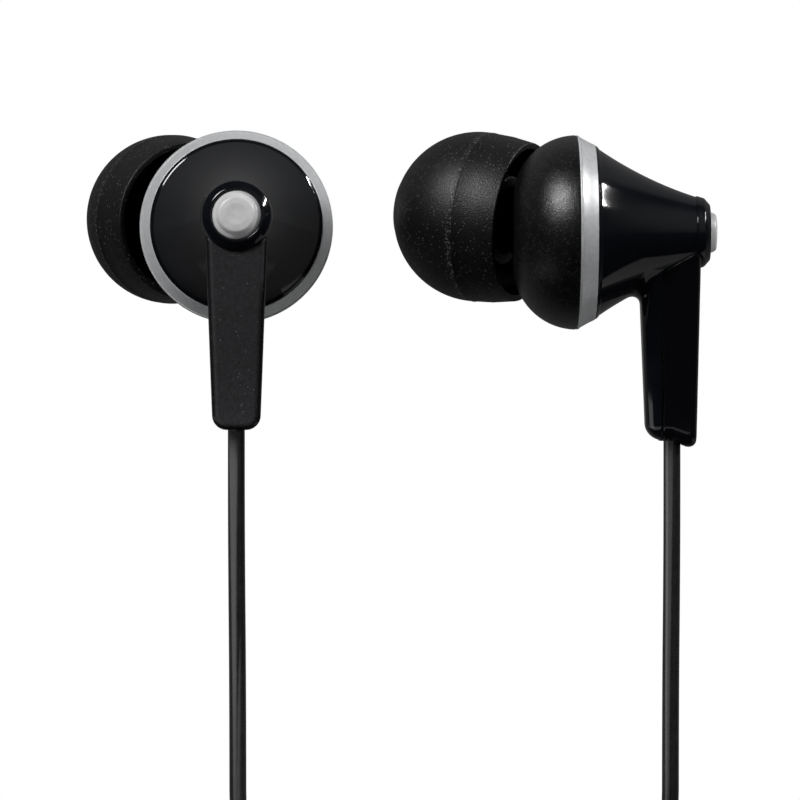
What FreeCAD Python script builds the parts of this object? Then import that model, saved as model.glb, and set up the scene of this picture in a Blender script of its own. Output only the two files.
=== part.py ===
import FreeCAD, Part
import math
import os
import re
import Sketcher
from FreeCAD import Placement, Rotation, Vector

# Wired in-ear earphones, hanging as they hang when worn: two mirrored earpieces, a thin cord
# down from each stem, a tied hank, a Y splitter and one thicker cord to a 3.5 mm plug.
# Each earpiece has its own frame: +X forward into the ear, +Z up along the stem, and the
# origin at the centre of the widest circle. The whole part's origin is the left ear tip's mouth.

# Driving sizes in millimetres and degrees
SIZES = (
    ("body_radius", 6.85, "earpiece at its widest circle"),
    ("front_reach", 4.45, "widest circle to the flat nose"),
    ("shell_wall", 0.8, "wall of the front and rear shells"),
    ("past", 1.0, "how far a cutting outline reaches past what it cuts"),
    ("skim", 0.01, "step that keeps a rounding cut off the face beside it"),
    ("fit_gap", 0.05, "clearance of pieces that fit in each other"),
    ("ring_width", 1.27, "accent ring along the axis"),
    ("ring_small_radius", 6.12, "rear edge of the accent ring"),
    ("spigot_radius", 5.4, "rear shell's spigot inside the ring"),
    ("spigot_wall", 0.65, "wall of that spigot"),
    ("cone_end_radius", 2.45, "cone where its rim starts"),
    ("cone_sag", 0.33, "how far the flank is drawn in"),
    ("rear_reach", 9.33, "widest circle to the crest of the rim"),
    ("rim_depth", 0.56, "crest of the rim to the end of the cone's flank"),
    ("rim_round", 0.62, "rounding of the rim"),
    ("cap_radius", 1.73, "grey end cap"),
    ("cap_face_radius", 1.38, "raised face of the end cap"),
    ("cap_height", 0.5, "end cap proud of the rim"),
    ("cap_depth", 0.4, "depth of the end cap's well"),
    ("cap_round", 0.25, "rounding of the raised face"),
    ("peg_radius", 0.6, "end cap's peg"),
    ("peg_length", 0.9, "end cap's peg"),
    ("driver_seat", 2.4, "front shell's shoulder for the driver"),
    ("driver_radius", 5.0, "driver frame"),
    ("rim_bore", 4.35, "gasket, film rim and frame flange inside"),
    ("gasket_thickness", 0.3, "foam gasket"),
    ("film_thickness", 0.08, "diaphragm film"),
    ("flange_depth", 0.7, "driver frame's flange"),
    ("plate_depth", 0.4, "driver frame's rear plate"),
    ("dome_radius", 2.3, "centre dome of the diaphragm"),
    ("dome_rise", 0.35, "crown of the centre dome"),
    ("crown_radius", 0.3, "flat crown of the dome"),
    ("roll_rise", 0.31, "crown of the surround"),
    ("coil_hinge", 0.12, "film between the coil and the roll"),
    ("rim_hinge", 0.1, "film between the roll and the rim"),
    ("coil_radius", 2.6, "voice coil outside"),
    ("coil_wall", 0.2, "voice coil winding"),
    ("coil_length", 1.25, "voice coil"),
    ("yoke_radius", 3.6, "steel cup outside"),
    ("yoke_wall", 0.7, "steel cup's wall"),
    ("yoke_floor", 0.5, "steel cup's floor"),
    ("magnet_radius", 2.0, "magnet disc"),
    ("magnet_thickness", 1.2, "magnet disc"),
    ("pole_radius", 2.15, "pole plate on the magnet"),
    ("pole_thickness", 0.45, "pole plate on the magnet"),
    ("vent_radius", 0.5, "vent in the cup's floor"),
    ("felt_radius", 2.8, "damping felt behind the cup"),
    ("felt_thickness", 0.25, "damping felt behind the cup"),
    ("board_radius", 4.6, "solder board round the cup"),
    ("board_thickness", 0.4, "solder board round the cup"),
    ("stem_top", 1.2, "axis to the stem's hidden top"),
    ("stem_reach", 15.1, "axis to the stem's lower end"),
    ("behind_cord_top", 1.98, "cord to the stem's rear face at its top"),
    ("behind_cord_end", 1.67, "cord to the stem's rear face at its end"),
    ("before_cord_top", 2.37, "cord to the stem's front face at its top"),
    ("before_cord_end", 1.84, "cord to the stem's front face at its end"),
    ("stem_half_top", 2.2, "half the stem's width at its top"),
    ("stem_half_end", 1.66, "half the stem's width at its end"),
    ("stem_rear_round", 0.55, "stem's rear edges"),
    ("stem_front_round", 1.15, "stem's front edges"),
    ("stem_corner_round", 1.0, "stem's lower corners"),
    ("before_cord_seam", 0.72, "cord to where stem cover and rear shell meet"),
    ("heel_rise", 0.6, "stem's front corner above its end"),
    ("heel_round", 0.85, "stem's lower front corner"),
    ("toe_round", 0.35, "stem's lower rear corner"),
    ("root_round", 1.27, "hollow where the stem leaves the cone"),
    ("root_half", 1.45, "half the width of that hollow's web"),
    ("root_sink", 0.5, "how far that web runs into the stem"),
    ("slot_half_depth", 1.05, "stem's hollow, along X"),
    ("slot_half_width", 0.95, "stem's hollow, along Y"),
    ("cord_setback", 2.61, "crest of the rim forward to the cord"),
    ("cord_diameter", 1.2, "thin cord"),
    ("bush_radius", 1.0, "rubber bush round the cord"),
    ("bush_length", 2.4, "rubber bush round the cord"),
    ("bush_shy", 0.42, "bush's end above the stem's lower end"),
    ("clamp_radius", 0.85, "crimp that holds the cord"),
    ("clamp_length", 1.8, "crimp that holds the cord"),
    ("cord_lead_out", 6.5, "straight cord from the crimp along the stem"),
    ("cord_gather", 0.12, "how far a cord has drawn in where it bends"),
    ("lead_diameter", 0.26, "enamelled lead inside"),
    ("lead_spread", 0.5, "each lead from the middle plane"),
    ("tip_forward", 6.7, "widest circle to the tip's widest circle"),
    ("tip_side", 4.64, "tip's widest circle off the axis"),
    ("tip_rise", 1.15, "tip's widest circle above the axis"),
    ("nozzle_yaw", 25.0, "nozzle's lean to the ear canal"),
    ("nozzle_lift", 6.7, "nozzle's rise to the ear canal"),
    ("nozzle_root", 4.4, "tip's widest circle back to the nozzle's root"),
    ("nozzle_reach", 3.0, "tip's widest circle to the nozzle's mouth"),
    ("nozzle_radius", 2.1, "nozzle outside"),
    ("nozzle_bore", 1.45, "nozzle inside"),
    ("bead_radius", 2.35, "low bead that keeps the tip on"),
    ("bead_width", 0.9, "low bead that keeps the tip on"),
    ("mesh_radius", 1.8, "round mesh in the nozzle's mouth"),
    ("mesh_thickness", 0.3, "round mesh in the nozzle's mouth"),
    ("tip_radius", 6.0, "ear tip at its widest circle"),
    ("tip_length", 5.55, "widest circle to the tip's mouth"),
    ("tip_mouth", 2.0, "sound opening of the tip"),
    ("mouth_lip", 0.4, "flat lip round the sound opening"),
    ("skirt_length", 3.5, "widest circle back to the skirt's edge"),
    ("skirt_radius", 5.65, "edge of the skirt"),
    ("skirt_wall", 0.5, "skirt at its edge"),
    ("sleeve_clearance", 0.05, "tip's sleeve round the nozzle's bead"),
    ("sleeve_wall", 0.75, "tip's sleeve"),
    ("sleeve_back", 2.3, "tip's widest circle back to the sleeve's end"),
    ("left_heading", 90.5, "left earpiece's forward axis, turned from +X"),
    ("left_dip", 4.8, "left earpiece's nose below level"),
    ("right_heading", 182.4, "right earpiece's forward axis, turned from +X"),
    ("pair_spacing", 24.03, "between the widest circles' centres, along X"),
    ("pair_drop", 0.48, "right earpiece's centre below the left one's"),
    ("trunk_diameter", 1.8, "cord below the splitter"),
    ("cord_half_run", 12.0, "half a straight run of the thin hanks"),
    ("trunk_half_run", 13.6, "half a straight run of the thick hank"),
    ("cord_fold", 6.83, "smallest fold of the thin hanks"),
    ("trunk_fold", 5.5, "smallest fold of the thick hank"),
    ("cord_step", 1.95, "between neighbouring turns of thin cord"),
    ("trunk_step", 2.5, "between neighbouring turns of thick cord"),
    ("waist_pull", 3.0, "how far the tie draws each run in"),
    ("cord_layer", 1.75, "between the two layers of a thin hank"),
    ("trunk_layer", 2.3, "between the two layers of the thick hank"),
    ("cord_inner_layer", 3.15, "thin hank's nearer layer from the middle plane"),
    ("hank_drop", 62.9, "left cord's lead-out down to the hank's waist"),
    ("tie_height", 3.0, "band round the waist"),
    ("tie_wall", 0.8, "band round the waist"),
    ("tie_gap", 0.3, "band clear of the cords"),
    ("tie_round", 2.5, "band's inner corners"),
    ("splitter_hang", 15.1, "thick hank's lower end down to the splitter"),
    ("splitter_length", 10.0, "Y splitter"),
    ("splitter_half_width", 2.2, "Y splitter"),
    ("splitter_half_depth", 1.5, "Y splitter"),
    ("splitter_round", 1.0, "Y splitter's long edges"),
    ("splitter_spread", 0.95, "each thin cord from the splitter's middle"),
    ("socket_depth", 1.0, "how far a cord end sits in its socket"),
    ("bend_rise", 19.8, "thin cord's bend above its hank"),
    ("end_run", 7.0, "last run of a thin cord above its hank"),
    ("turn_run", 5.1, "each run of the thick cord's turn below the splitter"),
    ("side_run", 15.0, "last run of the thick cord up to its hank"),
    ("plug_drop", 12.0, "free cord above the plug's relief"),
    ("relief_length", 8.0, "plug's strain relief"),
    ("relief_top_radius", 1.5, "relief where the cord enters"),
    ("relief_end_radius", 2.2, "relief at the grip"),
    ("rib_depth", 0.5, "grooves of the relief"),
    ("rib_width", 0.7, "grooves of the relief"),
    ("grip_length", 14.0, "plug's grip"),
    ("grip_radius", 3.25, "plug's grip"),
    ("grip_nose_radius", 2.6, "grip at the metal end"),
    ("grip_round", 0.8, "grip's upper edge"),
    ("pin_radius", 1.75, "3.5 mm contact pin"),
    ("pin_sleeve", 6.6, "ground sleeve"),
    ("pin_gap", 0.6, "each insulating ring"),
    ("pin_ring", 2.2, "middle contact"),
    ("pin_tip", 4.0, "end contact"),
    ("pin_neck", 1.15, "end contact's waist radius"),
    ("core_radius", 0.6, "brass core of the end contact"),
)

# Places and sizes that follow from the driving ones
DERIVED = {
    "nose_flat": "(body_radius - front_reach)",
    "inner_reach": "(front_reach - shell_wall)",
    "film_front": "(driver_seat - gasket_thickness)",
    "frame_front": "(driver_seat - gasket_thickness - film_thickness)",
    "plate_front": "(driver_seat - gasket_thickness - film_thickness - flange_depth)",
    "roll_start": "(coil_radius + coil_hinge)",
    "roll_end": "(rim_bore - rim_hinge)",
    "roll_bend": "((roll_end - roll_start) ^ 2 / (8 * roll_rise) + roll_rise / 2)",
    "dome_bend": "(dome_radius ^ 2 / (2 * dome_rise))",
    "frame_rear": "(driver_seat - gasket_thickness - film_thickness - flange_depth - plate_depth)",
    "chamber_corner": "sqrt(inner_reach ^ 2 - (rim_bore - nose_flat) ^ 2)",
    "spigot_bore": "(spigot_radius - spigot_wall)",
    "cone_reach": "(rear_reach - rim_depth)",
    "cord_place": "(rear_reach - cord_setback)",
    "stem_rear_top": "(cord_place + behind_cord_top)",
    "stem_rear_end": "(cord_place + behind_cord_end)",
    "stem_front_top": "(cord_place - before_cord_top)",
    "stem_front_end": "(cord_place - before_cord_end)",
    "stem_seam": "(cord_place - before_cord_seam)",
    "flank_chord": "sqrt((cone_reach - ring_width) ^ 2 + (ring_small_radius - cone_end_radius) ^ 2)",
    "flank_bend": "(flank_chord ^ 2 / (8 * cone_sag) + cone_sag / 2)",
    "well_floor": "(rear_reach - cap_depth)",
    "cup_front": "(frame_rear + plate_depth)",
    "cup_floor": "(cup_front - pole_thickness - magnet_thickness)",
    "cup_rear": "(cup_floor - yoke_floor)",
    "sleeve_bore": "(bead_radius + sleeve_clearance)",
    "sleeve_radius": "(sleeve_bore + sleeve_wall)",
    "bush_top": "(stem_reach - bush_length)",
}

doc = FreeCAD.newDocument("earphones")
sheet = doc.addObject("Spreadsheet::Sheet", "sizes")
for row, (alias, amount, meaning) in enumerate(SIZES, start=1):
    sheet.set(f"A{row}", meaning)
    sheet.set(f"B{row}", str(amount))
    sheet.setAlias(f"B{row}", alias)
doc.recompute()

ALIASES = {alias for alias, amount, meaning in SIZES}


def bind(expression):
    """Turn an expression of plain size names into one that reads the sheet."""
    def place(match):
        word = match.group(0)
        if word in DERIVED:
            return bind(DERIVED[word])
        return f"sizes.{word}" if word in ALIASES else word
    return re.sub(r"[a-z][a-z_]*", place, str(expression))


def size(expression):
    return float(sheet.evalExpression(bind(expression)))


# Sketches and the features made from them

def sketch_on(body, role, name, offset=Placement()):
    """A sketch on one of the body's own origin planes."""
    sketch = body.newObject("Sketcher::SketchObject", name)
    plane = [feature for feature in body.Origin.OriginFeatures if feature.Role == role][0]
    sketch.AttachmentSupport = [(plane, "")]
    sketch.MapMode = "FlatFace"
    sketch.AttachmentOffset = offset
    return sketch


def arc_between(start, end, radius, turn):
    """The shorter arc from start to end; turn is 1 to the left of travel and -1 to the right."""
    chord = end - start
    side = Vector(-chord.y, chord.x, 0).normalize() * turn
    centre = start + chord * 0.5 + side * math.sqrt(radius ** 2 - (chord.Length / 2) ** 2)
    first, last = (start, end) if turn > 0 else (end, start)
    angles = [math.atan2(point.y - centre.y, point.x - centre.x) for point in (first, last)]
    if angles[1] < angles[0]:
        angles[1] += 2 * math.pi
    return Part.ArcOfCircle(Part.Circle(centre, Vector(0, 0, 1), radius), *angles)


def draw(sketch, corners):
    """Close an outline through the corners; a corner with a radius and a turn is met by an arc."""
    places = [Vector(size(corner[0]), size(corner[1]), 0) for corner in corners]
    pieces = []
    for number, corner in enumerate(corners):
        start, end = places[number - 1], places[number]
        if len(corner) == 2:
            pieces.append((sketch.addGeometry(Part.LineSegment(start, end)), 1, 2))
            continue
        radius, turn = corner[2], corner[3]
        piece = sketch.addGeometry(arc_between(start, end, size(radius), turn))
        pieces.append((piece, 1, 2) if turn > 0 else (piece, 2, 1))
        constraint = sketch.addConstraint(Sketcher.Constraint("Radius", piece, size(radius)))
        sketch.setExpression(f"Constraints[{constraint}]", bind(radius))
    for number, (piece, first, last) in enumerate(pieces):
        next_piece, next_first, next_last = pieces[(number + 1) % len(pieces)]
        sketch.addConstraint(Sketcher.Constraint("Coincident", piece, last, next_piece, next_first))
        for kind, value in zip(("DistanceX", "DistanceY"), corners[number][:2]):
            constraint = Sketcher.Constraint(kind, -1, 1, piece, last, size(value))
            index = sketch.addConstraint(constraint)
            sketch.setExpression(f"Constraints[{index}]", bind(value))


def draw_circle(sketch, across, up, radius):
    centre = Vector(size(across), size(up), 0)
    circle = sketch.addGeometry(Part.Circle(centre, Vector(0, 0, 1), size(radius)))
    for constraint, value in (
        (Sketcher.Constraint("Radius", circle, size(radius)), radius),
        (Sketcher.Constraint("DistanceX", -1, 1, circle, 3, size(across)), across),
        (Sketcher.Constraint("DistanceY", -1, 1, circle, 3, size(up)), up),
    ):
        index = sketch.addConstraint(constraint)
        sketch.setExpression(f"Constraints[{index}]", bind(value))


def turned(body, name, corners, cut=False, offset=Placement()):
    """Turn an outline of (along the axis, radius) corners about the X axis, or cut it away."""
    sketch = sketch_on(body, "XZ_Plane", f"{name}_outline", offset)
    draw(sketch, corners)
    feature = body.newObject("PartDesign::Groove" if cut else "PartDesign::Revolution", name)
    feature.Profile = sketch
    feature.ReferenceAxis = (sketch, ["H_Axis"])
    feature.Angle = 360
    sketch.Visibility = False
    return feature


def tube_outline(back, front, inner, outer):
    return [(back, inner), (back, outer), (front, outer), (front, inner)]


def pocketed(body, name, role, outlines):
    """Cut outlines right through the body, both ways from one of its middle planes."""
    sketch = sketch_on(body, role, f"{name}_outline")
    for corners in outlines:
        draw(sketch, corners)
    pocket = body.newObject("PartDesign::Pocket", name)
    pocket.Profile = sketch
    pocket.Type = "ThroughAll"
    pocket.Midplane = True
    return pocket


def bored(body, name, across, up, radius, top, bottom):
    """A round hole along Z between two heights."""
    raised = Placement(Vector(0, 0, size(top)), Rotation())
    sketch = sketch_on(body, "XY_Plane", f"{name}_outline", raised)
    sketch.setExpression("AttachmentOffset.Base.z", bind(top))
    draw_circle(sketch, across, up, radius)
    pocket = body.newObject("PartDesign::Pocket", name)
    pocket.Profile = sketch
    pocket.Length = size(f"({top}) - ({bottom})")
    pocket.setExpression("Length", bind(f"({top}) - ({bottom})"))
    return pocket


def new_body(label):
    return doc.addObject("PartDesign::Body", label)


def turned_body(label, corners):
    body = new_body(label)
    turned(body, f"{label}_turned", corners)
    return body


# Where the earpieces and their tips stand

def nozzle_seat(side):
    """The ear tip's frame in its earpiece: +X out along the nozzle."""
    yaw = Rotation(Vector(0, 0, 1), side * size("nozzle_yaw"))
    lift = Rotation(Vector(0, 1, 0), -size("nozzle_lift"))
    base = Vector(size("tip_forward"), side * size("tip_side"), size("tip_rise"))
    return Placement(base, yaw * lift)


def mouth_of_tip(side):
    return nozzle_seat(side).multVec(Vector(size("tip_length"), 0, 0))


left_turn = Rotation(Vector(0, 0, 1), size("left_heading")) * Rotation(Vector(0, 1, 0), size("left_dip"))
right_turn = Rotation(Vector(0, 0, 1), size("right_heading"))
left_base = -left_turn.multVec(mouth_of_tip(1))
cord_top = Vector(-size("cord_place"), 0, -size("bush_top - clamp_length / 2"))
cord_out = cord_top - Vector(0, 0, size("cord_lead_out"))
left_out = left_base + left_turn.multVec(cord_out)
right_base = Vector(
    left_base.x + size("pair_spacing"),
    left_out.y - right_turn.multVec(cord_out).y,
    left_base.z - size("pair_drop"),
)
right_out = right_base + right_turn.multVec(cord_out)
EARS = (
    ("left", 1, Placement(left_base, left_turn)),
    ("right", -1, Placement(right_base, right_turn)),
)


# Earpiece pieces

def ear_tip(ear):
    """Soft silicone tip: a dome and skirt round a sleeve that grips the nozzle."""
    return turned_body(f"{ear}_ear_tip", [
        ("-sleeve_back", "sleeve_bore"),
        ("-sleeve_back", "sleeve_radius"),
        ("tip_length - 4 * skirt_wall", "sleeve_radius"),
        ("0", "tip_radius - skirt_wall", "tip_radius - skirt_wall", 1),
        ("-skirt_length", "skirt_radius - skirt_wall"),
        ("-skirt_length", "skirt_radius"),
        ("0", "tip_radius"),
        ("tip_length", "tip_mouth + mouth_lip", "tip_radius", -1),
        ("tip_length", "tip_mouth"),
        ("nozzle_reach + mesh_thickness", "tip_mouth"),
        ("nozzle_reach + mesh_thickness", "sleeve_bore"),
    ])


def nozzle_mesh(ear):
    """Punched metal disc pressed into the nozzle's mouth."""
    return turned_body(f"{ear}_nozzle_mesh", [
        ("nozzle_reach - mesh_thickness", "0"),
        ("nozzle_reach - mesh_thickness", "mesh_radius - fit_gap / 2"),
        ("nozzle_reach", "mesh_radius - fit_gap / 2"),
        ("nozzle_reach", "0"),
    ])


def front_housing(ear, side):
    """Matt front shell with the leaning nozzle; the driver drops in from the rear."""
    body = new_body(f"{ear}_front_housing")
    turned(body, f"{ear}_front_shell", [
        ("0", "0"),
        ("0", "body_radius"),
        ("front_reach", "nose_flat", "front_reach", -1),
        ("front_reach", "0"),
    ])
    upright = Placement(Vector(), Rotation(Vector(1, 0, 0), 90))
    lean = upright.inverse() * nozzle_seat(side) * upright
    turned(body, f"{ear}_nozzle", [
        ("-nozzle_root", "0"),
        ("-nozzle_root", "nozzle_radius"),
        ("nozzle_reach - 2 * bead_width", "nozzle_radius"),
        ("nozzle_reach - 1.5 * bead_width", "bead_radius"),
        ("nozzle_reach - 0.5 * bead_width", "bead_radius"),
        ("nozzle_reach", "nozzle_radius"),
        ("nozzle_reach", "0"),
    ], offset=lean)
    turned(body, f"{ear}_driver_bay", [
        ("-past", "0"),
        ("-past", "spigot_radius + fit_gap"),
        ("frame_rear", "spigot_radius + fit_gap"),
        ("frame_rear", "driver_radius + fit_gap"),
        ("driver_seat", "driver_radius + fit_gap"),
        ("driver_seat", "rim_bore"),
        ("chamber_corner", "rim_bore"),
        ("inner_reach", "nose_flat", "inner_reach", -1),
        ("inner_reach", "0"),
    ], cut=True)
    turned(body, f"{ear}_sound_bore", [
        ("-nozzle_root - past", "0"),
        ("-nozzle_root - past", "nozzle_bore"),
        ("nozzle_reach - mesh_thickness", "nozzle_bore"),
        ("nozzle_reach - mesh_thickness", "mesh_radius"),
        ("nozzle_reach + past", "mesh_radius"),
        ("nozzle_reach + past", "0"),
    ], cut=True, offset=lean)
    return body


def accent_ring(ear):
    """Satin grey trim ring trapped between the two shells."""
    return turned_body(f"{ear}_accent_ring", [
        ("0", "spigot_radius + fit_gap"),
        ("-ring_width", "spigot_radius + fit_gap"),
        ("-ring_width", "ring_small_radius"),
        ("0", "body_radius", "6 * ring_width", -1),
    ])


def end_cap(ear):
    """Light grey disc pegged into the end of the cone. It is trim and doesn't move."""
    return turned_body(f"{ear}_end_cap", [
        ("-well_floor + peg_length", "0"),
        ("-well_floor + peg_length", "peg_radius"),
        ("-well_floor", "peg_radius"),
        ("-well_floor", "cap_radius"),
        ("-rear_reach", "cap_radius"),
        ("-rear_reach - cap_height / 5", "cap_face_radius"),
        ("-rear_reach - cap_height + cap_round", "cap_face_radius"),
        ("-rear_reach - cap_height", "cap_face_radius - cap_round", "cap_round", 1),
        ("-rear_reach - cap_height", "0"),
    ])


def stem_section(body, name, depth, rear, front, half):
    """A rounded cross-section of the stem at one depth below the axis."""
    low = Placement(Vector(0, 0, -size(depth)), Rotation())
    sketch = sketch_on(body, "XY_Plane", name, low)
    sketch.setExpression("AttachmentOffset.Base.z", bind(f"-({depth})"))
    draw(sketch, [
        (f"-({rear})", f"-({half}) + stem_rear_round"),
        (f"-({rear}) + stem_rear_round", f"-({half})", "stem_rear_round", 1),
        (f"-({front}) - stem_front_round", f"-({half})"),
        (f"-({front})", f"-({half}) + stem_front_round", "stem_front_round", 1),
        (f"-({front})", f"({half}) - stem_front_round"),
        (f"-({front}) - stem_front_round", half, "stem_front_round", 1),
        (f"-({rear}) + stem_rear_round", half),
        (f"-({rear})", f"({half}) - stem_rear_round", "stem_rear_round", 1),
    ])
    return sketch


def stem_blank(body):
    """The tapered stem with its shaped lower end, before it is split and hollowed."""
    label = body.Label
    top = stem_section(body, f"{label}_stem_head", "stem_top",
                       "stem_rear_top", "stem_front_top", "stem_half_top")
    end = stem_section(body, f"{label}_stem_foot", "stem_reach + past / 2",
                       "stem_rear_end", "stem_front_end", "stem_half_end")
    loft = body.newObject("PartDesign::AdditiveLoft", f"{label}_stem")
    loft.Profile = top
    loft.Sections = [end]
    loft.Ruled = True
    pocketed(body, f"{label}_heel", "XZ_Plane", [[
        ("-stem_front_end + past", "-stem_reach + heel_rise + heel_round"),
        ("-stem_front_end + skim", "-stem_reach + heel_rise + heel_round"),
        ("-stem_front_end - heel_round", "-stem_reach + heel_rise", "heel_round + 2 * skim", -1),
        ("-cord_place", "-stem_reach + bush_shy"),
        ("-cord_place - slot_half_depth", "-stem_reach"),
        ("-stem_rear_end + toe_round", "-stem_reach"),
        ("-stem_rear_end - skim", "-stem_reach + toe_round", "toe_round + skim", -1),
        ("-stem_rear_end - past", "-stem_reach + toe_round"),
        ("-stem_rear_end - past", "-stem_reach - 2 * past"),
        ("-stem_front_end + past", "-stem_reach - 2 * past"),
    ]])
    corners = []
    for sign in ("", "-"):
        turn = 1 if sign else -1
        corner = f"{sign}(stem_half_end - stem_corner_round)"
        corners.append([
            (f"{sign}(stem_half_end + past)", "-stem_reach - past"),
            (f"{sign}(stem_half_end + past)", "-stem_reach + stem_corner_round"),
            (f"{sign}(stem_half_end + 4 * skim)", "-stem_reach + stem_corner_round"),
            (corner, "-stem_reach", "stem_corner_round + 3 * skim", turn),
            (corner, "-stem_reach - past"),
        ])
    pocketed(body, f"{label}_foot_corners", "YZ_Plane", corners)


def hollow_stem(body):
    """The stem's wire channel and the hole for the rubber bush, shared by shell and cover."""
    label = body.Label
    raised = Placement(Vector(0, 0, -size("stem_top")), Rotation())
    sketch = sketch_on(body, "XY_Plane", f"{label}_channel_outline", raised)
    sketch.setExpression("AttachmentOffset.Base.z", bind("-stem_top"))
    draw(sketch, [
        ("-cord_place - slot_half_depth", "-slot_half_width"),
        ("-cord_place + slot_half_depth", "-slot_half_width"),
        ("-cord_place + slot_half_depth", "slot_half_width"),
        ("-cord_place - slot_half_depth", "slot_half_width"),
    ])
    channel = body.newObject("PartDesign::Pocket", f"{label}_channel")
    channel.Profile = sketch
    channel.Length = size("bush_top - stem_top")
    channel.setExpression("Length", bind("bush_top - stem_top"))
    bored(body, f"{label}_bush_hole", "-cord_place", "0", "bush_radius + fit_gap / 2",
          "-bush_top + past", "-stem_reach - past")


def cone_outline(gap):
    """The rear shell's outer outline from the ring to the rim's crest, grown by a gap."""
    return [
        ("-ring_width", f"ring_small_radius + {gap}"),
        ("-cone_reach", f"cone_end_radius + {gap}", "flank_bend", -1),
        ("-rear_reach", f"cap_radius + fit_gap + {gap}", "1.5 * rim_round", 1),
        ("-rear_reach", "0"),
    ]


def rear_housing(ear):
    """Glossy rear shell: a drawn-in cone with its rim, and the front half of the stem."""
    body = new_body(f"{ear}_rear_housing")
    stem_blank(body)
    pocketed(body, f"{ear}_cover_room", "XZ_Plane", [[
        ("-stem_seam", "0"),
        ("-stem_rear_top - past", "0"),
        ("-stem_rear_top - past", "-stem_reach - past"),
        ("-stem_seam", "-stem_reach - past"),
    ]])
    web = sketch_on(body, "XZ_Plane", f"{ear}_root_web_outline")
    draw(web, [
        ("-stem_front_top - root_sink", "-cone_end_radius"),
        ("-stem_front_top + root_round", "-cone_end_radius"),
        ("-stem_front_top + root_round", "-ring_small_radius + root_round"),
        ("-stem_front_top - root_sink / 5", "-ring_small_radius + root_round / 4", "0.75 * root_round", 1),
        ("-stem_front_top - root_sink", "-ring_small_radius + root_round / 4"),
    ])
    pad = body.newObject("PartDesign::Pad", f"{ear}_root_web")
    pad.Profile = web
    pad.Midplane = True
    pad.Length = 2 * size("root_half")
    pad.setExpression("Length", bind("2 * root_half"))
    turned(body, f"{ear}_cone", [
        ("frame_rear", "0"),
        ("frame_rear", "spigot_radius"),
        ("-ring_width", "spigot_radius"),
    ] + cone_outline("0"))
    turned(body, f"{ear}_cone_hollow", [
        ("frame_rear + past", "0"),
        ("frame_rear + past", "spigot_bore"),
        ("-ring_width", "spigot_bore"),
        ("-ring_width - 2 * shell_wall", "cone_end_radius + 2.3 * shell_wall"),
        ("-well_floor + shell_wall", "cone_end_radius - 0.7 * shell_wall"),
        ("-well_floor + shell_wall", "0"),
    ], cut=True)
    turned(body, f"{ear}_cap_well", [
        ("-rear_reach - past", "0"),
        ("-rear_reach - past", "cap_radius + fit_gap"),
        ("-well_floor", "cap_radius + fit_gap"),
        ("-well_floor", "peg_radius + fit_gap"),
        ("-well_floor + shell_wall + past", "peg_radius + fit_gap"),
        ("-well_floor + shell_wall + past", "0"),
    ], cut=True)
    hollow_stem(body)
    return body


def stem_cover(ear):
    """Matt strip that closes the stem from behind."""
    body = new_body(f"{ear}_stem_cover")
    stem_blank(body)
    pocketed(body, f"{ear}_cover_face", "XZ_Plane", [[
        ("-stem_seam - fit_gap / 2", "0"),
        ("-stem_front_end + 2 * past", "0"),
        ("-stem_front_end + 2 * past", "-stem_reach - past"),
        ("-stem_seam - fit_gap / 2", "-stem_reach - past"),
    ]])
    turned(body, f"{ear}_cover_top", [
        ("0", "0"),
        ("0", "ring_small_radius"),
    ] + cone_outline("fit_gap / 2"), cut=True)
    hollow_stem(body)
    return body


def bushing(ear):
    """Rubber bush that the cord leaves the stem through."""
    body = new_body(f"{ear}_cord_bushing")
    sketch = sketch_on(body, "XY_Plane", f"{ear}_bush_outline",
                       Placement(Vector(0, 0, -size("bush_top")), Rotation()))
    sketch.setExpression("AttachmentOffset.Base.z", bind("-bush_top"))
    draw_circle(sketch, "-cord_place", "0", "bush_radius")
    draw_circle(sketch, "-cord_place", "0", "cord_diameter / 2 + fit_gap / 2")
    pad = body.newObject("PartDesign::Pad", f"{ear}_bush")
    pad.Profile = sketch
    pad.Reversed = True
    pad.Length = size("bush_length - bush_shy")
    pad.setExpression("Length", bind("bush_length - bush_shy"))
    return body


def cord_clamp(ear):
    """Crimped sleeve on the cord's end, above the bush, so that a pull can't reach the solder."""
    body = new_body(f"{ear}_cord_clamp")
    sketch = sketch_on(body, "XY_Plane", f"{ear}_clamp_outline",
                       Placement(Vector(0, 0, -size("bush_top")), Rotation()))
    sketch.setExpression("AttachmentOffset.Base.z", bind("-bush_top"))
    draw_circle(sketch, "-cord_place", "0", "clamp_radius")
    pad = body.newObject("PartDesign::Pad", f"{ear}_clamp")
    pad.Profile = sketch
    pad.Length = size("clamp_length")
    pad.setExpression("Length", bind("clamp_length"))
    bored(body, f"{ear}_clamp_hole", "-cord_place", "0", "cord_diameter / 2 + fit_gap / 2",
          "-bush_top + clamp_length / 2", "-bush_top - past")
    return body


# Driver pieces, from the front to the rear

def driver_gasket(ear):
    return turned_body(f"{ear}_driver_gasket",
                       tube_outline("film_front", "driver_seat", "rim_bore", "driver_radius"))


def surround(ear):
    """Rolled edge of the diaphragm, clamped at its rim."""
    return turned_body(f"{ear}_surround", [
        ("film_front", "driver_radius"),
        ("film_front", "roll_end"),
        ("film_front", "roll_start", "roll_bend", 1),
        ("frame_front", "roll_start"),
        ("frame_front", "roll_end", "roll_bend", -1),
        ("frame_front", "driver_radius"),
    ])


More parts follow.
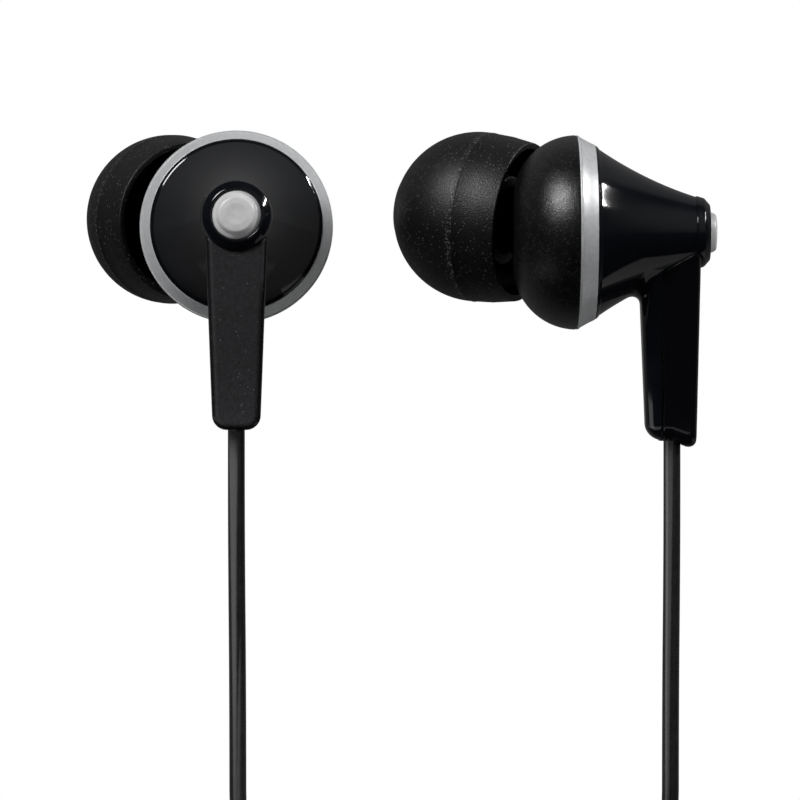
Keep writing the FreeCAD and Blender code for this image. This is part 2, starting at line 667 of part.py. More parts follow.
def diaphragm(ear):
    """Thin centre dome that carries the voice coil."""
    return turned_body(f"{ear}_diaphragm_dome", [
        ("frame_front", "coil_radius - coil_wall / 2"),
        ("frame_front", "coil_radius + coil_hinge / 2"),
        ("film_front", "coil_radius + coil_hinge / 2"),
        ("film_front", "dome_radius"),
        ("film_front + dome_rise", "crown_radius", "dome_bend", 1),
        ("film_front + dome_rise", "0"),
        ("frame_front + dome_rise", "0"),
        ("frame_front + dome_rise", "crown_radius"),
        ("frame_front", "dome_radius", "dome_bend", -1),
    ])


def voice_coil(ear):
    return turned_body(f"{ear}_voice_coil", tube_outline(
        "frame_front - coil_length", "frame_front", "coil_radius - coil_wall", "coil_radius"))


def driver_frame(ear):
    """Moulded basket: a flange for the diaphragm and a plate that holds the steel cup."""
    return turned_body(f"{ear}_driver_frame", [
        ("frame_front", "rim_bore"),
        ("frame_front", "driver_radius"),
        ("frame_rear", "driver_radius"),
        ("frame_rear", "yoke_radius + fit_gap / 2"),
        ("plate_front", "yoke_radius + fit_gap / 2"),
        ("plate_front", "rim_bore"),
    ])


def yoke(ear):
    """Pressed steel cup that carries the magnet and closes the field round the coil."""
    return turned_body(f"{ear}_yoke", [
        ("cup_rear", "vent_radius"),
        ("cup_rear", "yoke_radius"),
        ("cup_front", "yoke_radius"),
        ("cup_front", "yoke_radius - yoke_wall"),
        ("cup_floor", "yoke_radius - yoke_wall"),
        ("cup_floor", "vent_radius"),
    ])


def magnet(ear):
    return turned_body(f"{ear}_magnet", tube_outline(
        "cup_floor", "cup_front - pole_thickness", "vent_radius", "magnet_radius"))


def pole_plate(ear):
    return turned_body(f"{ear}_pole_plate", tube_outline(
        "cup_front - pole_thickness", "cup_front", "vent_radius", "pole_radius"))


def damping_felt(ear):
    return turned_body(f"{ear}_damping_felt", [
        ("cup_rear - felt_thickness", "0"),
        ("cup_rear - felt_thickness", "felt_radius"),
        ("cup_rear", "felt_radius"),
        ("cup_rear", "0"),
    ])


def solder_board(ear):
    return turned_body(f"{ear}_solder_board", tube_outline(
        "frame_rear - board_thickness", "frame_rear", "yoke_radius + fit_gap", "board_radius"))


# Tubes: straight runs with tangent arcs for free stretches, biarcs for wound turns

def arc_or_line(start, direction, end):
    """The arc that leaves start along direction and ends at end, or a line where it is straight."""
    chord = end - start
    along = direction.dot(chord) / chord.Length
    if along > 0.9999999:
        return Part.LineSegment(start, end)
    bend = math.acos(max(-1.0, min(1.0, along)))
    outward = (direction - chord * (along / chord.Length)).normalize()
    middle = start + chord * 0.5 + outward * (chord.Length / 2 * math.tan(bend / 2))
    return Part.Arc(start, middle, end)


def biarc(start, start_way, end, end_way):
    """Two tangent arcs between two points with given directions."""
    chord = end - start
    ways = start_way + end_way
    spread = 2 - 2 * start_way.dot(end_way)
    if spread < 1e-9:
        reach = chord.dot(chord) / (2 * chord.dot(ways))
    else:
        across = chord.dot(ways)
        reach = (math.sqrt(across ** 2 + spread * chord.dot(chord)) - across) / spread
    last_corner = end - end_way * reach
    joint = (start + start_way * reach + last_corner) * 0.5
    joint_way = (last_corner - joint).normalize()
    return [arc_or_line(start, start_way, joint), arc_or_line(joint, joint_way, end)]


def rounded_route(points):
    """Edges of a route of straight runs joined by arcs as large as the runs allow, and the radii."""
    edges, radii = [], []
    here = points[0]
    for before, corner, after in zip(points, points[1:], points[2:]):
        way_in, way_out = (corner - before).normalize(), (after - corner).normalize()
        setback = 0.45 * min((corner - before).Length, (after - corner).Length)
        entry, leave = corner - way_in * setback, corner + way_out * setback
        edges.append(Part.LineSegment(here, entry))
        edges.append(arc_or_line(entry, way_in, leave))
        radii.append(setback / math.tan(way_in.getAngle(way_out) / 2))
        here = leave
    edges.append(Part.LineSegment(here, points[-1]))
    return edges, radii


def tube(edges, diameter):
    """A round section swept along edges that begin with a straight one, and the path's length."""
    wire = Part.Wire([edge.toShape() for edge in edges])
    start, towards = edges[0].StartPoint, edges[0].EndPoint
    section = Part.Circle(start, towards - start, diameter / 2)
    pipe = Part.BRepOffsetAPI.MakePipeShell(wire)
    pipe.add(Part.Wire([section.toShape()]))
    pipe.build()
    pipe.makeSolid()
    return pipe.shape(), wire.Length


def cord_node(name, edges, diameter):
    """Add a cord's solid, and compare its volume with its length."""
    solid, length = tube(edges, diameter)
    expected = math.pi * (diameter / 2) ** 2 * length
    print(f"{name}: length {length:.1f} mm, volume {solid.Volume:.1f}, expected {expected:.1f}")
    doc.addObject("Part::Feature", name).Shape = solid


def free_stretch(name, points, diameter):
    edges, radii = rounded_route(points)
    print(f"{name}: bend radii {[round(radius, 1) for radius in radii]}")
    cord_node(name, edges, diameter)


# A turn has eight steps; each hank's first one, the one where it turns back, and its last
TURN_STEP_COUNT = 8
CORD_STEP_COUNTS = (1, 14, 27)
TRUNK_STEP_COUNTS = (5, 26, 51)


def hank_places(counts, fold, step, half_run, near_layer, far_layer):
    """Eight places a turn, anticlockwise from the top, of turns that spiral in and out again.

    The turns widen by a steady step on each side of the place where they turn back, and the
    cord climbs to its second layer along the run there. The tie draws every run in alike.
    """
    first, turn_back, last = counts
    places = []
    for number in range(first, last + 1):
        radius = fold + step * abs(number - turn_back) / TURN_STEP_COUNT
        pull = size("waist_pull")
        across, up, way = (
            (0, half_run + radius, Vector(-1, 0, 0)),
            (-radius, half_run, Vector(0, 0, -1)),
            (pull - radius, 0, Vector(0, 0, -1)),
            (-radius, -half_run, Vector(0, 0, -1)),
            (0, -half_run - radius, Vector(1, 0, 0)),
            (radius, -half_run, Vector(0, 0, 1)),
            (radius - pull, 0, Vector(0, 0, 1)),
            (radius, half_run, Vector(0, 0, 1)),
        )[number % TURN_STEP_COUNT]
        layer = near_layer if number < turn_back else far_layer
        if number == turn_back:
            layer = (near_layer + far_layer) / 2
            way = (way + Vector(0, (far_layer - near_layer) / half_run, 0)).normalize()
        places.append((Vector(across, layer, up), way))
    return places


def hank_edges(places, straight):
    """Biarcs through the places, with a short straight end at each side."""
    edges = [Part.LineSegment(places[0][0] - places[0][1] * straight, places[0][0])]
    for (start, start_way), (end, end_way) in zip(places, places[1:]):
        edges += biarc(start, start_way, end, end_way)
    edges.append(Part.LineSegment(places[-1][0], places[-1][0] + places[-1][1] * straight))
    return edges


def points_along(edges, spacing):
    points, travelled = [], 0.0
    for edge in edges:
        shape = edge.toShape()
        count = max(1, round(shape.Length / spacing))
        for number in range(count):
            share = (number + 0.5) / count
            parameter = shape.FirstParameter + share * (shape.LastParameter - shape.FirstParameter)
            points.append((shape.valueAt(parameter), travelled + share * shape.Length))
        travelled += shape.Length
    return points


def least_gap(points, diameter, others=(), other_diameter=0.0):
    """The least space between a wound cord's turns, or between two cords, measured on points."""
    least = 1e9
    clear = (diameter + other_diameter) / 2 if others else diameter
    for number, (point, travelled) in enumerate(points):
        for place, along in others or points[number + 1:]:
            if not others and along - travelled < 4 * diameter:
                continue
            if abs(place.x - point.x) < 5 and abs(place.z - point.z) < 5:
                least = min(least, point.distanceToPoint(place) - clear)
    return least


# The cords hang in one plane; the hank's middle line is half way between them
hank_middle = (left_out + right_out) * 0.5
hank_middle.z = left_out.z - size("hank_drop")
cord_diameter = size("cord_diameter")
trunk_diameter = size("trunk_diameter")


def about_middle(points, side=1):
    """Hand-chosen places about the hank's middle; the right cord's are the left's turned half round."""
    return [hank_middle + Vector(side * x, side * y, z) for x, y, z in points]


trunk_turns_out = (TRUNK_STEP_COUNTS[2] - TRUNK_STEP_COUNTS[1]) / TURN_STEP_COUNT
trunk_reach = size("trunk_half_run + trunk_fold") + size("trunk_step") * trunk_turns_out
splitter_top = trunk_reach + size("splitter_hang")
inner_layer = -size("cord_inner_layer")
outer_layer = inner_layer - size("cord_layer")
cord_places = hank_places(CORD_STEP_COUNTS, size("cord_fold"), size("cord_step"), size("cord_half_run"),
                          outer_layer, inner_layer)
trunk_places = hank_places(TRUNK_STEP_COUNTS, size("trunk_fold"), size("trunk_step"), size("trunk_half_run"),
                           -size("trunk_layer") / 2, size("trunk_layer") / 2)


def settle(places, side=1):
    """Move a hank's places to where it hangs, turned half round for the right cord."""
    half_round = Rotation(Vector(0, 0, 1), 0 if side > 0 else 180)
    return [(hank_middle + half_round.multVec(point), half_round.multVec(way))
            for point, way in places]


def cords():
    """The free stretches and the hanks, each one unbroken tube."""
    lines = {}
    for ear, side, place in EARS:
        settled = settle(cord_places, side)
        lines[ear] = hank_edges(settled, cord_diameter)
        start = settled[0][0] - settled[0][1] * cord_diameter
        end = settled[-1][0] + settled[-1][1] * cord_diameter
        leave, out = place.multVec(cord_top), place.multVec(cord_out)
        bend = Vector(out.x + side * size("cord_gather"), out.y, start.z + size("bend_rise"))
        above = start + Vector(0, 0, size("end_run"))
        free_stretch(f"{ear}_cord", [leave, out, bend, above, start], cord_diameter)
        cord_node(f"{ear}_cord_hank", lines[ear], cord_diameter)
        top = -splitter_top - size("socket_depth")
        spread = -size("splitter_spread")
        below = [end, end - Vector(0, 0, size("end_run"))]
        below += about_middle([(-5.6, -2.6, top + 13), (spread, 0, top + 6), (spread, 0, top)], side)
        free_stretch(f"{ear}_splitter_cord", below, cord_diameter)
    settled = settle(trunk_places)
    lines["trunk"] = hank_edges(settled, trunk_diameter)
    start = settled[0][0] - settled[0][1] * trunk_diameter
    end = settled[-1][0] + settled[-1][1] * trunk_diameter
    outlet = -splitter_top - size("splitter_length - socket_depth")
    run = size("turn_run")
    slant = run * math.sqrt(0.5)
    route = about_middle([
        (0, 0, outlet),
        (0, 0, outlet - run),
        (slant, 0, outlet - run - slant),
        (slant + run, 0, outlet - run - slant),
        (2 * slant + run, 0, outlet - run),
        (2 * slant + run + 0.4, -0.3, outlet + 4.5),
    ]) + [start - Vector(0, 0, size("side_run")), start]
    free_stretch("trunk_cord", route, trunk_diameter)
    cord_node("trunk_hank", lines["trunk"], trunk_diameter)
    plug_top = end - Vector(0, 0, size("plug_drop"))
    free_stretch("plug_cord", [end, plug_top], trunk_diameter)
    paths = {name: points_along(edges, 0.6) for name, edges in lines.items()}
    for name, width in (("left", cord_diameter), ("trunk", trunk_diameter)):
        print(f"{name} hank: least gap to itself {least_gap(paths[name], width):.2f} mm")
    for other in ("right", "trunk"):
        other_width = trunk_diameter if other == "trunk" else cord_diameter
        gap = least_gap(paths["left"], cord_diameter, paths[other], other_width)
        print(f"left hank to {other} hank: least gap {gap:.2f} mm")
    return plug_top


def lead_wires(ear, place):
    """Two enamelled leads from the crimp, up the stem and forward to the solder board."""
    wires = []
    clamp_top = -size("bush_top - clamp_length")
    stem = -size("cord_place")
    board = size("frame_rear - board_thickness")
    solder = -size("yoke_radius + board_radius") / 2
    for y in (-size("lead_spread"), size("lead_spread")):
        route = [
            Vector(stem, 0.6 * y, clamp_top),
            Vector(stem, y, clamp_top + 4),
            Vector(stem + 0.1, y, -3.2),
            Vector(stem + 1.6, 1.2 * y, -1.7),
            Vector(-2.6, 1.5 * y, -3.1),
            Vector(board - 1.3, 1.8 * y, solder),
            Vector(board, 1.8 * y, solder),
        ]
        wires.append(tube(rounded_route(route)[0], size("lead_diameter"))[0])
    node = doc.addObject("Part::Feature", f"{ear}_lead_wires")
    node.Shape = Part.makeCompound(wires)
    node.Placement = place


# Pieces on the cords

def rounded_oblong(wide, deep, corner):
    """Outline about the origin from its half sizes and its corners' radius."""
    return [
        (f"-({wide})", f"-({deep}) + {corner}"),
        (f"-({wide}) + {corner}", f"-({deep})", corner, 1),
        (f"({wide}) - ({corner})", f"-({deep})"),
        (wide, f"-({deep}) + {corner}", corner, 1),
        (wide, f"({deep}) - ({corner})"),
        (f"({wide}) - ({corner})", deep, corner, 1),
        (f"-({wide}) + {corner}", deep),
        (f"-({wide})", f"({deep}) - ({corner})", corner, 1),
    ]


def cord_tie():
    """Soft band round the waist of the hank."""
    body = new_body("cord_tie")
    widest_turn = f"trunk_fold + trunk_step * {trunk_turns_out}"
    half_width = f"{widest_turn} - waist_pull + trunk_diameter / 2 + tie_gap"
    half_depth = "cord_inner_layer + cord_layer + cord_diameter / 2 + tie_gap"
    sketch = sketch_on(body, "XY_Plane", "tie_outline")
    for growth in ("0", "tie_wall"):
        draw(sketch, rounded_oblong(f"{half_width} + {growth}", f"{half_depth} + {growth}",
                                    f"tie_round + {growth}"))
    pad = body.newObject("PartDesign::Pad", "tie_band")
    pad.Profile = sketch
    pad.Midplane = True
    pad.Length = size("tie_height")
    pad.setExpression("Length", bind("tie_height"))
    body.Placement = Placement(hank_middle, Rotation())


def splitter():
    """Moulded joint where the two thin cords become one."""
    body = new_body("cord_splitter")
    sketch = sketch_on(body, "XY_Plane", "splitter_outline")
    draw(sketch, rounded_oblong("splitter_half_width", "splitter_half_depth", "splitter_round"))
    pad = body.newObject("PartDesign::Pad", "splitter_block")
    pad.Profile = sketch
    pad.Reversed = True
    pad.Length = size("splitter_length")
    pad.setExpression("Length", bind("splitter_length"))
    for ear, across in (("left", "-splitter_spread"), ("right", "splitter_spread")):
        bored(body, f"splitter_{ear}_socket", across, "0", "cord_diameter / 2 + fit_gap / 2",
              "past", "-socket_depth")
    bored(body, "splitter_outlet", "0", "0", "trunk_diameter / 2 + fit_gap / 2",
          "-splitter_length + socket_depth", "-splitter_length - past")
    body.Placement = Placement(hank_middle - Vector(0, 0, splitter_top), Rotation())


RELIEF_GROOVES = 5


def plug(top):
    """3.5 mm three-contact plug, turned about the axis that it hangs on."""
    down = Placement(top, Rotation(Vector(0, 1, 0), 90))
    relief = [("0", "trunk_diameter / 2 + fit_gap / 2"), ("0", "relief_top_radius")]
    for number in range(1, RELIEF_GROOVES + 1):
        share = f"{number} / {RELIEF_GROOVES + 1}"
        middle = f"relief_length * {share}"
        radius = f"relief_top_radius + (relief_end_radius - relief_top_radius) * {share}"
        relief += [
            (f"{middle} - rib_width / 2", radius),
            (f"{middle} - rib_width / 2", f"{radius} - rib_depth"),
            (f"{middle} + rib_width / 2", f"{radius} - rib_depth"),
            (f"{middle} + rib_width / 2", radius),
        ]
    relief += [("relief_length", "relief_end_radius"), ("relief_length", "0"), ("socket_depth", "0"),
               ("socket_depth", "trunk_diameter / 2 + fit_gap / 2")]
    grip_end = "relief_length + grip_length"
    sleeve_end = f"{grip_end} + pin_sleeve"
    ring_start = f"{sleeve_end} + pin_gap"
    ring_end = f"{ring_start} + pin_ring"
    tip_start = f"{ring_end} + pin_gap"
    tip_end = f"{tip_start} + pin_tip"
    pieces = [
        turned_body("plug_relief", relief),
        turned_body("plug_grip", [
            ("relief_length", "0"),
            ("relief_length", "grip_radius - grip_round"),
            ("relief_length + grip_round", "grip_radius", "grip_round", -1),
            (f"{grip_end} - grip_length / 5", "grip_radius"),
            (grip_end, "grip_nose_radius"),
            (grip_end, "0"),
        ]),
        turned_body("plug_sleeve", tube_outline(grip_end, sleeve_end, "2 * core_radius", "pin_radius")),
        turned_body("plug_insulators", [
            (grip_end, "core_radius"),
            (grip_end, "2 * core_radius"),
            (sleeve_end, "2 * core_radius"),
            (sleeve_end, "pin_radius"),
            (ring_start, "pin_radius"),
            (ring_start, "2 * core_radius"),
            (ring_end, "2 * core_radius"),
            (ring_end, "pin_radius"),
            (tip_start, "pin_radius"),
            (tip_start, "core_radius"),
        ]),
        turned_body("plug_ring", tube_outline(ring_start, ring_end, "2 * core_radius", "pin_radius")),
        turned_body("plug_tip", [
            (grip_end, "0"),
            (grip_end, "core_radius"),
            (tip_start, "core_radius"),
            (tip_start, "pin_radius"),
            (f"{tip_start} + pin_tip * 0.2", "pin_radius"),
            (f"{tip_start} + pin_tip * 0.4", "pin_neck"),
            (f"{tip_start} + pin_tip * 0.65", "pin_radius * 0.93"),
            (tip_end, "0.25"),
            (tip_end, "0"),
        ]),
    ]
    for piece in pieces:
        piece.Placement = down


IN_EARPIECE_FRAME = (
    accent_ring, end_cap, rear_housing, stem_cover, bushing, cord_clamp, driver_gasket, surround,
    diaphragm, voice_coil, driver_frame, yoke, magnet, pole_plate, damping_felt, solder_board,
)
for ear, side, place in EARS:
    for piece in IN_EARPIECE_FRAME:
        piece(ear).Placement = place
    front_housing(ear, side).Placement = place
    for piece in (ear_tip, nozzle_mesh):
        piece(ear).Placement = place * nozzle_seat(side)
    lead_wires(ear, place)
cord_tie()
splitter()
plug_top = cords()
plug(plug_top)
doc.recompute()

# Nothing is written unless every object is sound and every cut has cut
CUTS = ("PartDesign::Groove", "PartDesign::Pocket")
for thing in doc.Objects:
    if "Invalid" in thing.State or "Error" in thing.State:
        raise SystemExit(f"{thing.Label} failed: {thing.State}")
    if thing.TypeId in CUTS and thing.Shape.Volume > thing.BaseFeature.Shape.Volume - 1e-4:
        raise SystemExit(f"{thing.Label} cuts nothing")

os.makedirs("parts", exist_ok=True)
nodes = [thing for thing in doc.Objects
         if thing.TypeId in ("PartDesign::Body", "Part::Feature")]
for node in nodes:
    if node.Shape.isNull() or not node.Shape.isValid():
        raise SystemExit(f"{node.Label} has no sound shape")
    print(f"{node.Label}: {len(node.Shape.Solids)} solid, {node.Shape.Volume:.2f} mm3")
    node.Shape.exportStep(f"parts/{node.Label}.step")
for ear, side, place in EARS:
    print(f"{ear} base {place.Base}, tip's mouth {place.multVec(mouth_of_tip(side))}")
    print(f"{ear} ear axis {(place * nozzle_seat(side)).Rotation.multVec(Vector(1, 0, 0))}")
    print(f"{ear} driver axis {place.Rotation.multVec(Vector(1, 0, 0))}")
print(f"{len(nodes)} nodes, hank's middle {hank_middle}, plug's top {plug_top}")
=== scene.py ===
import math

import bmesh
import bpy
import numpy as np
from mathutils import Matrix, Quaternion, Vector


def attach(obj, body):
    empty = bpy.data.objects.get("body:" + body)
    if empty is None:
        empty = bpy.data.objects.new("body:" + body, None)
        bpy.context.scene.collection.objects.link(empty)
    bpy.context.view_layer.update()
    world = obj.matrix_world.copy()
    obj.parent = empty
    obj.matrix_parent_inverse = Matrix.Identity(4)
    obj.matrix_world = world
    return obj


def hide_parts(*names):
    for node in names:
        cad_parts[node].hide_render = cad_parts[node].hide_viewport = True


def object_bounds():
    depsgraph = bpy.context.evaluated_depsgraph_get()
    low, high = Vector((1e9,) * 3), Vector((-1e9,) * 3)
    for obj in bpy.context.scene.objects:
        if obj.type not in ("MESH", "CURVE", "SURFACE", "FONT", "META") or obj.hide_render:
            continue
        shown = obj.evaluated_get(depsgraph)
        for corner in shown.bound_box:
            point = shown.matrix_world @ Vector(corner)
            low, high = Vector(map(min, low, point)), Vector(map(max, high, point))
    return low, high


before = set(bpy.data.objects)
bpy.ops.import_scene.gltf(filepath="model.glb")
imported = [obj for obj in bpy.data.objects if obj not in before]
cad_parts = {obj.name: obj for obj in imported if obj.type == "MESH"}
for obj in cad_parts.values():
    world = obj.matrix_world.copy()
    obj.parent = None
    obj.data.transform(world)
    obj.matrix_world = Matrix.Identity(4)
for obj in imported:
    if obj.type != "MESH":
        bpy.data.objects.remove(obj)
cad_low, cad_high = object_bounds()
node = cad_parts
MM = 0.001


# The studio: a camera far off with a long lens, as the earphones were photographed, a soft box
# over its left shoulder, a strip light on the right and small cards close by. What is glossy
# shows a soft window at the front right and, dimly, the white ground that the camera sees.
view_width = 56.46 * MM
camera_distance = 1.5
camera_data = bpy.data.cameras.new("studio_camera")
camera_data.sensor_width = 36
camera_data.lens = camera_data.sensor_width * camera_distance / view_width
camera_data.clip_start, camera_data.clip_end = 0.1, 20
camera = bpy.data.objects.new("studio_camera", camera_data)
aim = Vector((18.667, -17, -13.092)) * MM
camera.location = aim - Vector((0, camera_distance, 0))
camera.rotation_euler = (math.radians(90), 0, 0)
bpy.context.scene.collection.objects.link(camera)
bpy.context.scene.camera = camera
bpy.context.scene.view_settings.view_transform = "Standard"


def soft_box(name, place, target, width, height, power, roll=0):
    """An area lamp that faces a target: millimetres, watts, and degrees about its own axis."""
    data = bpy.data.lights.new(name, "AREA")
    data.shape = "RECTANGLE"
    data.size, data.size_y, data.energy = width * MM, height * MM, power
    lamp = bpy.data.objects.new(name, data)
    lamp.location = Vector(place) * MM
    away = (Vector(place) - Vector(target)).to_track_quat("Z", "Y")
    lamp.rotation_euler = (away @ Quaternion((0, 0, 1), math.radians(roll))).to_euler()
    lamp.visible_camera = False
    bpy.context.scene.collection.objects.link(lamp)


earpieces = aim / MM
soft_box("key_box", (-317, -437, 435), earpieces, width=300, height=200, power=4.2)
soft_box("right_strip", (613, -17, 358), earpieces, width=280, height=18, power=3.4, roll=40)
soft_box("cone_card", (128, -12, -115), earpieces, width=88, height=57, power=0.005)
soft_box("left_cord_card", (-9, -36, -29.5), (7, -20, -55), width=30, height=42, power=0.0045)
soft_box("right_cord_card", (22, -36, -30), (38, -20, -55), width=30, height=40, power=0.0027)


class Socket:
    """One output in a tree of nodes. Arithmetic on it adds Math nodes."""

    def __init__(self, tree, output=None):
        self.tree, self.output = tree, output

    def node(self, kind, settings, inputs, output=0):
        """Add a node of a kind: its settings first, then its sockets' values or links."""
        made = self.tree.nodes.new(kind)
        for name, value in settings.items():
            setattr(made, name, value)
        for place, value in inputs.items():
            if isinstance(value, Socket):
                self.tree.links.new(value.output, made.inputs[place])
            else:
                made.inputs[place].default_value = value
        return Socket(self.tree, made.outputs[output] if made.outputs else None)

    def math(self, operation, *values):
        return self.node("ShaderNodeMath", {"operation": operation}, dict(enumerate(values)))

    def __add__(self, other):
        return self.math("ADD", self, other)

    def __sub__(self, other):
        return self.math("SUBTRACT", self, other)

    def __rsub__(self, other):
        return self.math("SUBTRACT", other, self)

    def __mul__(self, other):
        return self.math("MULTIPLY", self, other)

    def __gt__(self, other):
        return self.math("GREATER_THAN", self, other)

    __radd__ = __add__
    __rmul__ = __mul__

    def between(self, low, high):
        """0 below low, 1 above high, smooth from one to the other."""
        return self.node(
            "ShaderNodeMapRange", {"interpolation_type": "SMOOTHSTEP"},
            {"Value": self, "From Min": low, "From Max": high})

    def tint(self, dark, light):
        """The colour dark where this is 0 and light where it is 1; each is a colour or a socket."""
        first, second = (end if isinstance(end, Socket) else (*end, 1) for end in (dark, light))
        return self.node(
            "ShaderNodeMix", {"data_type": "RGBA"}, {"Factor": self, 6: first, 7: second}, output=2)


low_glow, high_glow = 0.10, 0.18


def ground_glow(way):
    """How much of the white ground gloss shows along a way; none before the earphones."""
    back, up = (way.node("ShaderNodeSeparateXYZ", {}, {0: way}, output=axis) for axis in "YZ")
    return back.between(0.12, 0.36) * (up.between(0.1, 0.8) * (high_glow - low_glow) + low_glow)


fill_strength, ground_strength = 0.025, 1.0
window_way, window_glow = (0.56, -0.62, 0.54), 0.20
world = bpy.data.worlds.new("studio")
world.use_nodes = True
world.node_tree.nodes.clear()
sky = Socket(world.node_tree)
straight, through, mirrored = (
    sky.node("ShaderNodeLightPath", {}, {}, output=name)
    for name in ("Is Camera Ray", "Is Transmission Ray", "Is Glossy Ray"))
way = sky.node("ShaderNodeTexCoord", {}, {}, output="Generated")
window = way.node(
    "ShaderNodeVectorMath", {"operation": "DOT_PRODUCT"}, {0: way, 1: window_way}, output="Value")
gloss_share = ground_glow(way) + window.between(0.75, 1.0) * window_glow
ground_share = sky.math("MAXIMUM", sky.math("MAXIMUM", straight, through), mirrored * gloss_share)
fill, ground = (
    sky.node("ShaderNodeBackground", {}, {"Color": (1, 1, 1, 1), "Strength": strength})
    for strength in (fill_strength, ground_strength))
surroundings = sky.node("ShaderNodeMixShader", {}, {0: ground_share, 1: fill, 2: ground})
surroundings.node("ShaderNodeOutputWorld", {}, {"Surface": surroundings})
bpy.context.scene.world = world


# The floor lies under the lowest fold of cord. To the camera it is pale, with the shadow on it,
# and far off as white as the ground. In gloss it glows as the ground above it does, so that no
# horizon shows there, and it is duller in the light that it throws back.
def place_on_piece(start):
    return start.node("ShaderNodeTexCoord", {}, {}, output="Object")


def noise(start, grain, detail=3.0, rough=0.55):
    """Soft noise whose lumps are about grain millimetres wide."""
    return start.node(
        "ShaderNodeTexNoise", {},
        {"Vector": place_on_piece(start), "Scale": 1 / (grain * MM), "Detail": detail,
         "Roughness": rough})


floor_reach, floor_height = 4, cad_low.z - 0.5 * MM
floor_mesh = bpy.data.meshes.new("floor")
floor_mesh.from_pydata(
    [(x * floor_reach, y * floor_reach, floor_height) for x, y in ((-1, -1), (1, -1), (1, 1), (-1, 1))],
    [], [(0, 1, 2, 3)])
studio_floor = bpy.data.objects.new("floor", floor_mesh)
bpy.context.scene.collection.objects.link(studio_floor)

seen_paleness, mottling, dull_grey, white = 0.8, 0.05, (0.25, 0.25, 0.25), (1, 1, 1)
near_whiteness, white_start, white_end = 0.6, 0.3, 1.6
floor_paint = bpy.data.materials.new("floor_paint")
floor_paint.use_nodes = True
floor_paint.node_tree.nodes.clear()
paint = Socket(floor_paint.node_tree)
at_once, in_gloss = (
    paint.node("ShaderNodeLightPath", {}, {}, output=name) for name in ("Is Camera Ray", "Is Glossy Ray"))
floor_colour = (at_once * seen_paleness + noise(paint, 60) * mottling).tint(dull_grey, white)
floor_coat = paint.node(
    "ShaderNodeBsdfPrincipled", {}, {"Base Color": floor_colour, "Roughness": noise(paint, 30) * 0.1 + 0.7})
from_aim = paint.node(
    "ShaderNodeVectorMath", {"operation": "SUBTRACT"}, {0: place_on_piece(paint), 1: aim})
seen_way = from_aim.node("ShaderNodeVectorMath", {"operation": "NORMALIZE"}, {0: from_aim})
brightness = paint.math("MAXIMUM", at_once, ground_glow(seen_way))
floor_glow = paint.node("ShaderNodeEmission", {}, {"Color": brightness.tint((0, 0, 0), white)})
distance = from_aim.node("ShaderNodeVectorMath", {"operation": "LENGTH"}, {0: from_aim}, output="Value")
whiteness = distance.between(white_start, white_end) * (1 - near_whiteness) + near_whiteness
glow_share = paint.math("MAXIMUM", at_once * whiteness, in_gloss)
floor_look = paint.node("ShaderNodeMixShader", {}, {0: glow_share, 1: floor_coat, 2: floor_glow})
floor_look.node("ShaderNodeOutputMaterial", {}, {"Surface": floor_look})
floor_mesh.materials.append(floor_paint)


# The cords: a thin rubber-covered cord from each stem and a thicker one below the splitter.
# Each is one length of stranded copper in a soft jacket. What the camera doesn't see is folded
# into a tied hank in line with the earphones, so each cord is one curve with its hank in it.
def add_piece(name, data, body, slot, *materials):
    """Add a finished mesh or curve to the scene, riding on a body."""
    piece = bpy.data.objects.new(name, data)
    bpy.context.scene.collection.objects.link(piece)
    for material in materials:
        data.materials.append(material)
    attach(piece, body)
    return piece


def finish(name, base, roughness, metallic=0.0, specular=0.5, bump=None, bump_height=0.0):
    """A material on one Principled shader; bump is a height pattern, its height in millimetres."""
    made = bpy.data.materials.new(name)
    made.use_nodes = True
    made.node_tree.nodes.clear()
    start = Socket(made.node_tree)
    values = {
        "Base Color": base(start), "Roughness": roughness(start), "Metallic": metallic,
        "Specular IOR Level": specular}
    if bump:
        values["Normal"] = start.node(
            "ShaderNodeBump", {}, {"Height": bump(start), "Distance": bump_height * MM})
    shader = start.node("ShaderNodeBsdfPrincipled", {}, values)
    shader.node("ShaderNodeOutputMaterial", {}, {"Surface": shader})
    return made


def cloudy(grain, dark, light, edge=0.3):
    """A colour in soft clouds of a grain, which go from dark to light."""
    return lambda start: noise(start, grain).between(edge, 1 - edge).tint(dark, light)


def uneven(grain, least, spread):
    """A roughness that wanders over a spread above its least."""
    return lambda start: noise(start, grain) * spread + least


def round_curve(name, lines, diameter, steps, round_steps):
    """A curve with a round section along each line of control points, in metres."""
    data = bpy.data.curves.new(name, "CURVE")
    data.dimensions = "3D"
    for line in lines:
        spline = data.splines.new("NURBS")
        spline.points.add(len(line) - 1)
        for knot, point in zip(spline.points, line):
            knot.co = (*point, 1)
        spline.order_u = 3
        spline.use_endpoint_u = True
        spline.resolution_u = steps
    data.bevel_depth = diameter / 2
    data.bevel_resolution = round_steps
    data.use_fill_caps = True
    return data


